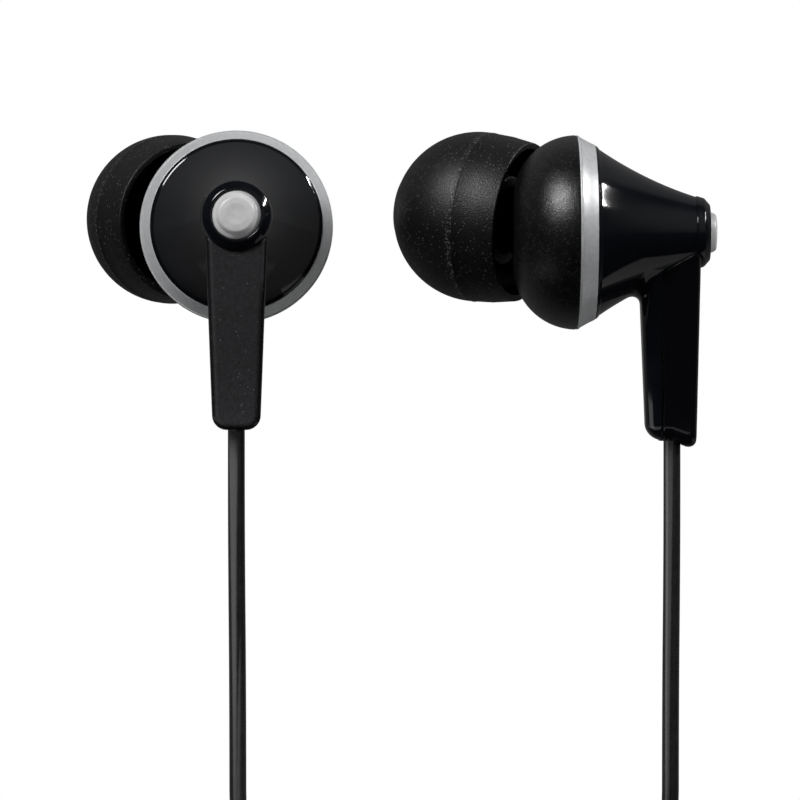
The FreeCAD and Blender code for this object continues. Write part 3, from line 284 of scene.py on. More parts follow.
def hank_line(first, turn_back, last, fold, step, half_run, waist_pull, near_layer, far_layer):
    """Control points of a wound hank, about its middle, counted in eighths of a turn.

    A turn is two half circles joined by straight runs that the tie draws in at the waist. The
    turns widen from the place where they turn back, and the second layer lies on the first.
    """
    line = []

    def add(count, up, out, rise, pull, run):
        radius = fold + step * abs(count - turn_back) / 8
        climb = min(1, max(0, (count - turn_back + 1) / 2))
        if first < count < last:
            line.append(Vector((
                up * (out * radius + pull),
                near_layer + climb * (far_layer - near_layer),
                up * (rise * radius + run))))

    fold_corners = 6
    half_angle = math.pi / fold_corners / 2
    bend = (waist_pull ** 2 + half_run ** 2) / (4 * half_run)
    for turn_end in range(0, last + 4, 4):
        up = 1 if turn_end % 8 == 0 else -1
        for corner in range(fold_corners):
            angle = (2 * corner + 1) * half_angle
            across, rise = math.cos(angle) / math.cos(half_angle), math.sin(angle) / math.cos(half_angle)
            add(turn_end - 1 + 2 * angle / math.pi, up, across, rise, 0, half_run)
        for height, pull in ((half_run - bend, 0), (bend, 1), (-bend, 1), (bend - half_run, 0)):
            add(turn_end + 2 - height / half_run, up, -1, 0, pull * waist_pull, height)
    return line


def half_round(points):
    return [Vector((-x, -y, z)) for x, y, z in points]


def cable(name, route, diameter):
    """A cord: one open spline along its route, in millimetres."""
    data = round_curve(name, [[point * MM for point in route]], diameter * MM, 6, 6)
    return add_piece(name, data, "set", "cord_jacket", cord_jacket)


cord_jacket = finish(
    "cord_jacket",
    cloudy(0.8, (0.007, 0.007, 0.0073), (0.011, 0.011, 0.0115)),
    uneven(0.5, 0.20, 0.10),
    specular=0.8,
    bump=lambda start: noise(start, 0.12),
    bump_height=0.004)

thin_cord, thick_cord = 1.2, 1.8
hank_middle = Vector((22.48022, -19.97121, -81.38606))
thin_hank = hank_line(
    first=1, turn_back=14, last=27, fold=6.83, step=1.95, half_run=12.0, waist_pull=3.0,
    near_layer=-4.9, far_layer=-3.15)
hank_entry = [Vector((-10.0, -4.9, 20.2)), Vector((-10.0, -4.9, 13.2))]
hank_leave = [Vector((-10.0, -3.15, -13.2)), Vector((-10.0, -3.15, -20.2))]
to_splitter = [Vector((-5.6, -2.6, -29.9)), Vector((-0.95, 0, -36.9)), Vector((-0.95, 0, -42.9))]
put_away = hank_entry + thin_hank + hank_leave + to_splitter

left_drop = [
    Vector((7.1393, -19.4273, -12.0089)),
    Vector((7.1343, -19.9712, -18.4861)),
    Vector((7.16, -19.97, -25.0)),
    Vector((7.24, -19.97, -33.7)),
    Vector((7.2543, -19.9712, -48.3861)),
]
left_route = left_drop + [hank_middle + point for point in put_away]

right_drop = [
    Vector((37.8164, -19.9712, -13.0926)),
    Vector((37.8264, -19.9712, -19.5926)),
    Vector((37.80, -19.97, -26.0)),
    Vector((37.72, -19.97, -33.7)),
    Vector((37.7062, -19.9712, -48.3861)),
]
right_route = right_drop + [hank_middle + point for point in half_round(put_away)]

thick_hank = hank_line(
    first=5, turn_back=26, last=51, fold=5.5, step=2.5, half_run=13.6, waist_pull=3.0,
    near_layer=-1.15, far_layer=1.15)
thick_route = [hank_middle + point for point in [
    Vector((0, 0, -51.01)),
    Vector((0, 0, -56.11)),
    Vector((3.61, 0, -59.72)),
    Vector((8.71, 0, -59.72)),
    Vector((12.31, 0, -56.11)),
    Vector((12.71, -0.3, -46.51)),
    Vector((12.0625, -1.15, -30.4)),
    Vector((12.0625, -1.15, -15.4)),
] + thick_hank + [
    Vector((-13.3125, 1.15, -15.4)),
    Vector((-13.3125, 1.15, -27.4)),
]]

left_cable = cable("left_cable", left_route, thin_cord)
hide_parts("left_cord", "left_cord_hank", "left_splitter_cord")
right_cable = cable("right_cable", right_route, thin_cord)
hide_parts("right_cord", "right_cord_hank", "right_splitter_cord")
main_cable = cable("main_cable", thick_route, thick_cord)
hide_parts("trunk_cord", "trunk_hank", "plug_cord")


# The places of the two earpieces. Each has its own frame in millimetres: x forward along the
# driver's axis from the widest circle, z up, the stem below. The nozzle leans in that frame, and
# the other way on the right.
def placed(turn, lift, base):
    """A frame turned about z and then tilted about its own y, in degrees, and moved to a base."""
    facing = Matrix.Rotation(math.radians(turn), 4, "Z") @ Matrix.Rotation(math.radians(lift), 4, "Y")
    return Matrix.Translation(base) @ facing


SIDES = {
    "left": (Matrix.Scale(MM, 4) @ placed(90.5, 4.8, (7.072265, -11.743782, -0.812551)), 1),
    "right": (Matrix.Scale(MM, 4) @ placed(182.4, 0, (31.102265, -20.252609, -1.292551)), -1),
}
NOZZLE_LEAN = {side: placed(25 * side, -6.7, (6.7, 4.64 * side, 1.15)) for side in (1, -1)}


# The rear shells: each is a drawn-in cone with the front half of its stem in one piece, moulded
# in glossy black plastic. A spigot at its wide end is pushed into the front shell. The shapes
# here are written as fields, below zero inside the plastic, so that every edge has its round.
def round_cut(first, second, radius):
    """What both fields hold, with the edge between them rounded."""
    corner = np.hypot(np.maximum(first + radius, 0), np.maximum(second + radius, 0))
    return np.minimum(np.maximum(first, second), -radius) + corner


def filleted(first, second, radius):
    """What either field holds, with a fillet in the corner between them."""
    corner = np.hypot(np.maximum(radius - first, 0), np.maximum(radius - second, 0))
    return np.maximum(np.minimum(first, second), radius) - corner


def field_slope(field, points, reach=0.02):
    slope = []
    for axis in range(3):
        step = np.zeros(3)
        step[axis] = reach
        slope.append((field(*(points + step).T) - field(*(points - step).T)) / (2 * reach))
    return np.stack(slope, axis=1)


def field_surface(field, low, high, cell):
    """The closed surface where a field is zero: its points, faces and normals.

    One point is set in each cell that the surface crosses and moved onto the surface along the
    field's slope, and one face is made across each crossed edge of the grid.
    """
    counts = [int(math.ceil((top - bottom) / cell)) + 1 for bottom, top in zip(low, high)]
    axes = [bottom + cell * np.arange(count) for bottom, count in zip(low, counts)]
    inside = field(*np.meshgrid(*axes, indexing="ij")) < 0
    corner_total = sum(
        inside[i:i + counts[0] - 1, j:j + counts[1] - 1, k:k + counts[2] - 1].astype(np.int8)
        for i in (0, 1) for j in (0, 1) for k in (0, 1))
    crossed = (corner_total > 0) & (corner_total < 8)
    number = np.full(crossed.shape, -1)
    number[crossed] = np.arange(crossed.sum())
    points = np.array(low) + cell * (np.argwhere(crossed) + 0.5)
    least_steepness, pulls = 0.25, (0.7, 1, 1, 1)
    for pull in pulls:
        value, slope = field(*points.T), field_slope(field, points)
        steepness = np.maximum((slope ** 2).sum(axis=1), least_steepness)
        shift = -(pull * value / steepness)[:, None] * slope
        points += shift * np.minimum(1, cell / np.maximum(np.abs(shift).max(axis=1), 1e-9))[:, None]
    faces = []
    for axis in range(3):
        here = np.moveaxis(inside, axis, 0)
        cells = np.moveaxis(number, axis, 0)
        starts, ends = here[:-1, 1:-1, 1:-1], here[1:, 1:-1, 1:-1]
        around = [cells[:, :-1, :-1], cells[:, 1:, :-1], cells[:, 1:, 1:], cells[:, :-1, 1:]]
        turn = 1 if axis == 1 else -1
        for change, order in ((starts & ~ends, -turn), (~starts & ends, turn)):
            faces.append(np.stack([corner[change] for corner in around[::order]], axis=1))
    slope = field_slope(field, points)
    normals = slope / np.linalg.norm(slope, axis=1)[:, None]
    return points, np.concatenate(faces), normals


def surface_mesh(name, surface, place, side=1):
    """A mesh of a field's surface, put in place; side -1 mirrors it across the earpiece.

    Its own_place attribute keeps each point's place in the earpiece, for the finishes.
    """
    points, faces, normals = surface
    points, normals = points * (1, side, 1), normals * (1, side, 1)
    to_row = np.array(place)
    data = bpy.data.meshes.new(name)
    rows = points @ to_row[:3, :3].T + to_row[:3, 3]
    data.from_pydata(rows.tolist(), [], (faces if side == 1 else faces[:, ::-1]).tolist())
    directions = normals @ to_row[:3, :3].T
    directions /= np.linalg.norm(directions, axis=1)[:, None]
    data.shade_smooth()
    data.normals_split_custom_set_from_vertices(directions.tolist())
    own_place = data.attributes.new("own_place", "FLOAT_VECTOR", "POINT")
    own_place.data.foreach_set("vector", points.astype(np.float32).ravel())
    return data


def on_both_sides(word, build, slot, material, cad_word=None):
    """Add a piece to each earpiece, in the place of its CAD node where it has one.

    Build makes the mesh from the piece's name, the earpiece's frame and its side.
    """
    for side_name, (place, side) in SIDES.items():
        name = f"{side_name}_{word}"
        piece = add_piece(name, build(name, place, side), "set", slot, material)
        if cad_word:
            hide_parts(f"{side_name}_{cad_word}")


ring_depth, ring_back_radius = 1.27, 6.12
seam, seam_round = -6.0, 0.1
cone_middle, rim_end, rim_round, collar_depth = -3.5, -9.40, 0.6, 0.5
flank_middle, flank_radius = (-16.55, 27.80), 26.57
stem_top, stem_foot, step_height, front_height = -1.2, -15.1, -14.68, -14.55
stem_half_width, stem_widening, stem_round, foot_round = 2.2, 0.0375, 1.1, 1.0
stem_front, front_lean = -4.35, 0.0381
cord_line = -6.72
channel_half_depth, channel_half_width = 1.05, 0.95
bush_top, bush_hole_radius, overlap = -12.7, 1.025, 0.1
spigot_radius, spigot_front, spigot_back = 5.4, 0.92, -1.7
peg_hole_radius, peg_hole_front = 0.65, -8.0
tongue_play, tongue_lap = 0.07, 0.2
hollow_back = -8.13

# Each of these is a row of places along x and what the foot's height, the fillet between stem
# and cone, or the hollow's radius is there.
foot_line = (-7.77, cord_line, -5.0), (stem_foot, step_height, front_height)
fillet_line = (-5.9, -4.7), (0.12, 0.97)
hollow_line = (hollow_back, -2.87, -ring_depth), (1.89, 4.37, 4.75)


def cone_field(x, y, z):
    """The outside of the drawn-in cone, whose flank is slightly hollow."""
    radius = np.hypot(y, z)
    flank = flank_radius - np.hypot(x - flank_middle[0], radius - flank_middle[1])
    return round_cut(flank, rim_end - x, rim_round)


def stem_sides(x, y, z):
    """The stem's two sides and its foot, which is stepped down behind the cord."""
    half_width = stem_half_width + stem_widening * (z - stem_top)
    return round_cut(np.abs(y) - half_width, np.interp(x, *foot_line) - z, foot_round)


def cord_way(x, y, z):
    """The channel in the stem, with the hole for the bush below it."""
    channel = np.maximum(np.abs(x - cord_line) - channel_half_depth, np.abs(y) - channel_half_width)
    channel = np.maximum(np.maximum(channel, bush_top - z), z - stem_top)
    bush_hole = np.maximum(np.hypot(x - cord_line, y) - bush_hole_radius, z - bush_top - overlap)
    return np.minimum(channel, bush_hole)


def rear_shell_field(x, y, z):
    """The cone and the stem's front half, which flow together, less what lies inside them."""
    radius = np.hypot(y, z)
    spigot = np.maximum(np.maximum(radius - spigot_radius, x - spigot_front), spigot_back - x)
    front_face = x - (stem_front + front_lean * (z - stem_top))
    stem = round_cut(front_face, stem_sides(x, y, z), stem_round)
    stem = np.maximum(round_cut(stem, seam - x, seam_round), z - stem_top)
    outside = filleted(cone_field(x, y, z), stem, np.interp(x, *fillet_line))
    tongue = np.maximum(radius - ring_back_radius + tongue_play, x + ring_depth - tongue_lap)
    collar_seat = rim_end + collar_depth - x
    outside = np.maximum(outside, np.where(x > cone_middle, tongue, collar_seat))
    hollow = np.maximum(radius - np.interp(x, *hollow_line), hollow_back - x)
    peg_hole = np.maximum(radius - peg_hole_radius, x - peg_hole_front)
    plastic = np.minimum(outside, spigot)
    for space in (hollow, peg_hole, cord_way(x, y, z)):
        plastic = np.maximum(plastic, -space)
    return plastic


shell_gloss = finish(
    "shell_gloss",
    cloudy(2.5, (0.0035, 0.004, 0.0055), (0.005, 0.0055, 0.0075)),
    uneven(1.6, 0.045, 0.05),
    bump=lambda start: noise(start, 1.5, 1.0),
    bump_height=0.004)
rear_surface = field_surface(rear_shell_field, low=(-9.3, -6.6, -15.7), high=(1.3, 6.6, 6.6), cell=0.14)
on_both_sides(
    "rear_shell", lambda name, place, side: surface_mesh(name, rear_surface, place),
    "rear_shell", shell_gloss, "rear_housing")


# The strips: a separate moulding, clipped to each shell, closes the stem from behind over the
# cord. Its back is matt with a fine sparkle, and its sides are polished like the shell.
back_face, back_lean, back_round, side_fade = -8.70, 0.0223, 0.5, 0.20
strip_gap, strip_seam_round, strip_cone_round = 0.03, 0.08, 0.1


def strip_field(x, y, z):
    back = back_face - back_lean * (z - stem_top) - x
    strip = round_cut(back, stem_sides(x, y, z), back_round)
    strip = round_cut(strip, x - seam + strip_gap, strip_seam_round)
    strip = round_cut(strip, strip_gap - cone_field(x, y, z), strip_cone_round)
    return np.maximum(np.maximum(strip, z - stem_top), -cord_way(x, y, z))


def flecks(start, spacing, reach):
    """1 on small scattered grains and 0 between them; both lengths in millimetres."""
    nearest = start.node(
        "ShaderNodeTexVoronoi", {}, {"Vector": place_on_piece(start), "Scale": 1 / (spacing * MM)})
    return 1 - nearest.between(0.5 * reach / spacing, reach / spacing)


def on_back(start):
    """1 on the strip's matt back, which leans a little, and 0 on its polished sides."""
    own_place = start.node("ShaderNodeAttribute", {"attribute_name": "own_place"}, {}, output="Vector")
    back, up = (start.node("ShaderNodeSeparateXYZ", {}, {0: own_place}, output=axis) for axis in "XZ")
    return 1 - (back + up * back_lean).between(back_face, back_face + side_fade)


def strip_colour(start):
    """Cloudy dark grey with pale sparks on the back, and black on the sides."""
    cloud = cloudy(0.3, (0.005, 0.005, 0.006), (0.012, 0.012, 0.0145))(start)
    spark = flecks(start, 0.42, 0.05) * (noise(start, 1.1) > 0.48)
    grey = (spark * 0.9 + noise(start, 0.2) * 0.06).tint((0, 0, 0), (0.14, 0.14, 0.15))
    matt = start.node(
        "ShaderNodeMix", {"data_type": "RGBA", "blend_type": "ADD"},
        {"Factor": 1.0, 6: cloud, 7: grey}, output=2)
    return on_back(start).tint((0.003, 0.003, 0.004), matt)


strip_matt = finish(
    "strip_matt",
    strip_colour,
    lambda start: on_back(start) * 0.38 + noise(start, 0.4) * 0.08 + 0.06,
    specular=0.35,
    bump=lambda start: noise(start, 0.10) * on_back(start),
    bump_height=0.02)
strip_surface = field_surface(strip_field, low=(-9.2, -2.7, -15.7), high=(-5.6, 2.7, -0.8), cell=0.11)
on_both_sides(
    "stem_strip", lambda name, place, side: surface_mesh(name, strip_surface, place),
    "stem_strip", strip_matt, "stem_cover")


# The front shells: matt black domes with a hollow for the driver, and a leaning nozzle whose
# bead holds the ear tip. Each is glued to the spigot of its rear shell.
widest = 6.85
dome_flat, dome_round, dome_wall = 2.4, 4.45, 0.8
edge_slope, edge_back, edge_step = 0.35, -0.13, 0.05
nozzle_radius, nozzle_front, nozzle_root, nozzle_round, root_fillet = 2.1, 3.0, -4.4, 0.15, 0.5
bead_radius, bead_middle, bead_half, bead_round, bead_fillet = 2.35, 2.1, 0.45, 0.2, 0.1
bore_radius, bore_root = 1.45, -5.0
mesh_seat_radius, mesh_rear = 1.8, 2.7
bay_ends, bay_radii = (spigot_front, 2.4, 3.08), (5.45, 5.05, 4.35)


def front_shell_field(x, y, z):
    """The dome with its nozzle, less the driver's bay, the bore and the seat of the mesh."""
    radius = np.hypot(y, z)
    round_part = np.hypot(x, np.maximum(radius - dome_flat, 0)) - dome_round
    edge = radius - widest + edge_step - edge_slope * x
    dome = np.maximum(round_part, np.maximum(edge, edge_back - x))
    to_nozzle = np.array(NOZZLE_LEAN[1].inverted())
    along, across, up = (row[0] * x + row[1] * y + row[2] * z + row[3] for row in to_nozzle[:3])
    reach = np.hypot(across, up)
    stalk = round_cut(reach - nozzle_radius, along - nozzle_front, nozzle_round)
    bead = round_cut(reach - bead_radius, np.abs(along - bead_middle) - bead_half, bead_round)
    stalk = np.maximum(filleted(stalk, bead, bead_fillet), nozzle_root - along)
    shell = filleted(dome, stalk, root_fillet)
    bay_radius = np.select([x < end for end in bay_ends], bay_radii, bay_radii[-1])
    bay = np.maximum(radius - bay_radius, x - bay_ends[-1])
    inner_dome = np.maximum(round_part + dome_wall, radius - bay_radii[-1])
    bore = np.maximum(reach - bore_radius, bore_root - along)
    mesh_seat = np.maximum(reach - mesh_seat_radius, mesh_rear - along)
    for space in (bay, inner_dome, bore, mesh_seat):
        shell = np.maximum(shell, -space)
    return shell


def shell_colour(start):
    """Near black with the fine dull grain of a spark-eroded mould."""
    cloud = cloudy(0.5, (0.003, 0.003, 0.0031), (0.006, 0.006, 0.0062))(start)
    grain = flecks(start, 0.24, 0.07) * (noise(start, 0.5) > 0.4)
    return grain.tint(cloud, (0.03, 0.03, 0.031))


shell_matt = finish(
    "shell_matt",
    shell_colour,
    uneven(0.08, 0.15, 0.30),
    bump=lambda start: noise(start, 0.09, 1.5),
    bump_height=0.022)
front_surface = field_surface(front_shell_field, low=(-0.5, -7.3, -7.3), high=(10.4, 8.6, 7.3), cell=0.15)
on_both_sides(
    "front_shell", lambda name, place, side: surface_mesh(name, front_surface, place, side),
    "front_shell", shell_matt, "front_housing")


# The trim rings: a satin grey band round each widest circle, metallised plastic, held between
# the two shells. Everything turned about an axis is made from here on from its half section.
def softened(section, steps=4):
    """A half section with the corners rounded; each corner is (x, radius, round)."""
    line = []
    for place, (x, radius, corner) in enumerate(section):
        here = Vector((x, radius))
        before, after = Vector(section[place - 1][:2]), Vector(section[(place + 1) % len(section)][:2])
        if not corner:
            line.append(here)
            continue
        back, on = (before - here).normalized(), (after - here).normalized()
        half = back.angle(on) / 2
        reach = min(corner / math.tan(half), 0.49 * (before - here).length, 0.49 * (after - here).length)
        for step in range(steps + 1):
            share = step / steps
            line.append(here + back * reach * (1 - share) ** 2 + on * reach * share ** 2)
    return line


def as_mesh(shape, name):
    """A built shape as a mesh, with its faces turned outwards."""
    bmesh.ops.recalc_face_normals(shape, faces=shape.faces)
    data = bpy.data.meshes.new(name)
    shape.to_mesh(data)
    shape.free()
    return data


def turned(name, line, place, side=1, segments=128):
    """A closed half section turned about the x axis of a frame, in metres in the row frame.

    The map runs once around and from 0 to 1 along the section. Points on the axis are single.
    """
    shape = bmesh.new()
    mapped = shape.loops.layers.uv.new("around_and_along")
    angles = [2 * math.pi * step / segments for step in range(segments)]
    rings = []
    for x, radius in line:
        if radius < 1e-6:
            rings.append([shape.verts.new(place @ Vector((x, 0, 0)))] * segments)
            continue
        rings.append([
            shape.verts.new(place @ Vector((x, side * radius * math.cos(angle), radius * math.sin(angle))))
            for angle in angles])
    for low in range(len(rings)):
        high = (low + 1) % len(rings)
        for step in range(segments):
            after = (step + 1) % segments
            loop = [(rings[low][step], step, low), (rings[high][step], step, low + 1),
                    (rings[high][after], step + 1, low + 1), (rings[low][after], step + 1, low)]
            corners = [corner for place_in, corner in enumerate(loop) if corner[0] not in
                       [earlier[0] for earlier in loop[:place_in]]]
            if len(corners) < 3:
                continue
            face = shape.faces.new([corner[0] for corner in corners])
            for face_loop, corner in zip(face.loops, corners):
                face_loop[mapped].uv = (corner[1] / segments, corner[2] / len(rings))
    data = as_mesh(shape, name)
    data.shade_smooth()
    data.set_sharp_from_angle(angle=math.radians(38))
    return data


def arc(middle_x, middle_radius, size, first, last, steps=16):
    """Points of an arc in a half section; angles in degrees from the x axis."""
    angles = [math.radians(first + (last - first) * step / steps) for step in range(steps + 1)]
    return [(middle_x + size * math.cos(a), middle_radius + size * math.sin(a), 0) for a in angles]


ring_satin = finish(
    "ring_satin",
    cloudy(0.35, (0.55, 0.56, 0.57), (0.63, 0.64, 0.65), edge=0.25),
    uneven(0.2, 0.26, 0.12),
    metallic=0.25,
    bump=lambda start: noise(start, 0.09),
    bump_height=0.005)
ring_section = softened([
    (0, widest, 0.10), (-0.35, 6.635, 0), (-0.8, 6.385, 0), (-ring_depth, 6.16, 0.16),
    (-ring_depth, 6.11, 0), (-1.05, 6.11, 0), (-1.05, 5.45, 0), (-0.15, 5.45, 0), (-0.15, 6.81, 0),
    (0, 6.81, 0)])
on_both_sides(
    "trim_ring", lambda name, place, side: turned(name, ring_section, place, side, 192),
    "ring_metal", ring_satin, "accent_ring")


# The rear shells' edges: a narrow shoulder against the ring, and at the other end a low collar
# round the well of the cap. They are moulded with the shells and turned here by themselves, so
# that their rounded edges carry clean highlights.
SHELL_EDGES = {
    "shell_shoulder": [
        (-1.10, 5.60, 0), (-1.10, 6.09, 0), (-ring_depth, ring_back_radius, 0.05), (-1.37, 6.10, 0.05),
        (-1.53, 5.94, 0.05), (-1.59, 5.81, 0.05), (-1.70, 5.70, 0), (-1.70, 5.60, 0)],
    "shell_rim": [
        (-8.38, 2.60, 0.1), (-8.98, 2.42, 0.25), (rim_end, 1.95, 0.35), (rim_end, 1.78, 0.10),
        (-8.95, 1.78, 0), (-8.93, 2.0, 0), (-8.40, 2.2, 0)],
}
for edge_name, section in SHELL_EDGES.items():
    on_both_sides(
        edge_name, lambda name, place, side: turned(name, softened(section), place, side, 192),
        "rear_shell", shell_gloss)


# The end caps: a pale grey moulded disc pressed into the end of each cone by its peg. Its face
# is a low dome with a shallow dish in the middle.
cap_grey = finish(
    "cap_grey",
    cloudy(0.7, (0.60, 0.60, 0.605), (0.68, 0.68, 0.685)),
    uneven(0.4, 0.28, 0.12),
    bump=lambda start: noise(start, 0.5),
    bump_height=0.01)
cap_section = softened([
    (-8.0, 0, 0), (-8.0, 0.6, 0.08), (-8.93, 0.6, 0), (-8.93, 1.74, 0.05), (-9.20, 1.74, 0.12),
    (-9.42, 1.46, 0.15), (-9.84, 1.26, 0.28), (-9.89, 0.75, 0.3), (-9.85, 0.35, 0.3), (-9.84, 0, 0)])
on_both_sides(
    "cap_disc", lambda name, place, side: turned(name, cap_section, place, side),
    "cap_metal", cap_grey, "end_cap")


# The ear tips: soft matt silicone, a thin dome and skirt with a thick sleeve inside that is
# pulled over the nozzle. A parting line of the mould runs round the widest circle.
tip_radius, tip_inner_radius = 6.0, 5.5
tip_section = (
    [(-0.42, 6.012, 0), (-0.36, 5.99, 0)]
    + arc(0, 0, tip_radius, 90, 26, 24)
    + [(5.55, 2.36, 0.12), (5.52, 2.0, 0.12), (3.3, 2.0, 0), (3.3, 2.4, 0), (-2.3, 2.4, 0.2),
       (-2.3, 3.15, 0.2), (2.9, 3.15, 0.5), (3.6, 3.9, 0.4)]
    + arc(0, 0, tip_inner_radius, 43, 90, 16)
    + [(-1.8, 5.40, 0), (-3.4, 5.17, 0.1), (-3.5, 5.62, 0.12), (-1.8, 5.90, 0), (-0.48, 5.98, 0)])


def tip_colour(start):
    """Dark silicone with dust on it, and a painted highlight: a broken pale line on the parting ridge."""
    cloud = cloudy(0.6, (0.002, 0.002, 0.0021), (0.004, 0.004, 0.0042))(start)
    dust = flecks(start, 0.26, 0.055) * (noise(start, 0.9) > 0.4)
    mapped = start.node("ShaderNodeTexCoord", {}, {}, output="UV")
    along = start.node("ShaderNodeSeparateXYZ", {}, {0: mapped}, output="Y")
    # Painted highlight: a broken pale line along the mould's parting ridge, in place of the light that the
    # ridge catches.
    parting_highlight = 1 - along.between(0.012, 0.03)
    line = parting_highlight * noise(start, 0.16).between(0.52, 0.66)
    return dust.math("MAXIMUM", dust, line).tint(cloud, (0.10, 0.10, 0.10))


silicone = finish(
    "silicone",
    tip_colour,
    uneven(0.10, 0.30, 0.30),
    specular=0.42,
    bump=lambda start: noise(start, 0.09, 1.5),
    bump_height=0.028)
for side_name, (place, side) in SIDES.items():
    tip_name = f"{side_name}_silicone_tip"
    tip_mesh = turned(tip_name, softened(tip_section), place @ NOZZLE_LEAN[side], side, 160)
    tip = add_piece(tip_name, tip_mesh, f"{side_name}_tip", "tip_silicone", silicone)
    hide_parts(f"{side_name}_ear_tip")


# The mesh in each nozzle: a punched steel disc in a thin rim, set in from the front and glued. It
# keeps wax and dust off the driver. One holed tile is repeated over the disc.
def plain(name, colour, roughness, metallic=0.0, grain=0.4, contrast=0.25):
    """A finish with soft unevenness in its colour and polish, for small or hidden pieces."""
    dark = tuple(part * (1 - contrast) for part in colour)
    light = tuple(min(1, part * (1 + contrast)) for part in colour)
    return finish(
        name,
        cloudy(grain, dark, light),
        uneven(grain / 2, roughness - 0.08, 0.16),
        metallic,
        bump=lambda start: noise(start, grain / 4),
        bump_height=0.004)


def repeated(name, tile, material, sizes, layout):
    """A mesh with a tile repeated by a node tree, which layout builds from the named sizes."""
    tree = bpy.data.node_groups.new(name, "GeometryNodeTree")
    values = {**sizes, "Material": material}
    kinds = {float: "NodeSocketFloat", int: "NodeSocketInt", bpy.types.Material: "NodeSocketMaterial"}
    tree.interface.new_socket("Tile", in_out="INPUT", socket_type="NodeSocketGeometry")
    identifier = {
        word: tree.interface.new_socket(word, in_out="INPUT", socket_type=kinds[type(value)]).identifier
        for word, value in values.items()}
    tree.interface.new_socket("Geometry", in_out="OUTPUT", socket_type="NodeSocketGeometry")
    given = {
        word: Socket(tree).node("NodeGroupInput", {}, {}, output=word) for word in ("Tile", *values)}
    points = layout(given)
    copies = points.node(
        "GeometryNodeInstanceOnPoints", {}, {"Points": points, "Instance": given["Tile"]})
    real = copies.node("GeometryNodeRealizeInstances", {}, {"Geometry": copies})
    painted = real.node("GeometryNodeSetMaterial", {}, {"Geometry": real, "Material": given["Material"]})
    painted.node("NodeGroupOutput", {}, {"Geometry": painted})
    holder = bpy.data.objects.new(name, tile)
    bpy.context.scene.collection.objects.link(holder)
    modifier = holder.modifiers.new(name, "NODES")
    modifier.node_group = tree
    for word, value in values.items():
        modifier[identifier[word]] = value
    made = bpy.data.meshes.new_from_object(holder.evaluated_get(bpy.context.evaluated_depsgraph_get()))
    holder.modifiers.remove(modifier)
    bpy.data.objects.remove(holder)
    made.name = name
    return made


def staggered(given):
    """The points of a grid with every other row moved half a step, as far as the reach."""
    rows, row_height = 11, 0.866
    spacing = given["Spacing"]
    grid = spacing.node(
        "GeometryNodeMeshGrid", {},
        {"Size X": spacing * (rows - 1), "Size Y": spacing * (row_height * (rows - 1)),
         "Vertices X": rows, "Vertices Y": rows})
    number = grid.node("GeometryNodeInputIndex", {}, {})
    odd_row = number.math("MODULO", number, 2)
    shift = odd_row.node("ShaderNodeCombineXYZ", {}, {"X": (odd_row - 0.5) * spacing * 0.5})
    moved = grid.node("GeometryNodeSetPosition", {}, {"Geometry": grid, "Offset": shift})
    place = moved.node("GeometryNodeInputPosition", {}, {})
    distance = place.node("ShaderNodeVectorMath", {"operation": "LENGTH"}, {0: place}, output="Value")
    return moved.node(
        "GeometryNodeDeleteGeometry", {"domain": "POINT"},
        {"Geometry": moved, "Selection": distance > given["Reach"]})


def holed_tile(name, spacing, hole, thickness):
    """A six-sided plate with a round hole through it, flat in x and y."""
    shape = bmesh.new()
    corners = 12
    rings = []
    for height in (-thickness / 2, thickness / 2):
        for radii in ((spacing / math.sqrt(3), spacing / 2), (hole, hole)):
            rings.append([
                shape.verts.new((radii[i % 2] * math.sin(math.tau * i / corners),
                                 radii[i % 2] * math.cos(math.tau * i / corners), height))
                for i in range(corners)])
    low_edge, low_hole, high_edge, high_hole = rings
    for first, second in ((low_edge, low_hole), (low_hole, high_hole), (high_hole, high_edge),
                          (high_edge, low_edge)):
        for i in range(corners):
            after = (i + 1) % corners
            shape.faces.new((first[i], second[i], second[after], first[after]))
    return as_mesh(shape, name)


mesh_steel = plain("mesh_steel", (0.35, 0.35, 0.35), 0.34, metallic=0.9, grain=0.3)
hole_spacing, hole_radius, plate_thickness, mesh_reach = 0.42, 0.14, 0.2, 1.46
mesh_rim_radius, mesh_rim_bore, mesh_rim_round = 1.775, 1.42, 0.04
mesh_tile = holed_tile("mesh_tile", hole_spacing * MM, hole_radius * MM, plate_thickness * MM)
mesh_rim_section = softened([
    (end, radius, mesh_rim_round) for end, radius in (
        (mesh_rear, mesh_rim_radius), (mesh_rear, mesh_rim_bore),
        (nozzle_front, mesh_rim_bore), (nozzle_front, mesh_rim_radius))])
for side_name, (place, side) in SIDES.items():
    nozzle_place = place @ NOZZLE_LEAN[side]
    punched = repeated(
        f"{side_name}_punched_mesh", mesh_tile, mesh_steel,
        {"Spacing": hole_spacing * MM, "Reach": mesh_reach * MM}, staggered)
    punched.transform(
        nozzle_place @ Matrix.Translation(((nozzle_front + mesh_rear) / 2, 0, 0))
        @ Matrix.Rotation(math.radians(90), 4, "Y") @ Matrix.Scale(1 / MM, 4))
    disc = add_piece(f"{side_name}_punched_mesh", punched, "set", "mesh")
    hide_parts(f"{side_name}_nozzle_mesh")
    rim = turned(f"{side_name}_mesh_rim", mesh_rim_section, nozzle_place, side, 64)
    add_piece(f"{side_name}_mesh_rim", rim, "set", "mesh", mesh_steel)


# The cord's ends in the stems: a brass crimp that a pull can't draw through, and below it the
# rubber bush that the cord leaves by, pushed up into the stem's foot.
def dressed(material, *names):
    """Give the CAD pieces of these names a finish, on both sides; their shape stays."""
    for side_name in SIDES:
        for name in names:
            piece = node[f"{side_name}_{name}"]
            piece.data.materials.clear()
            piece.data.materials.append(material)


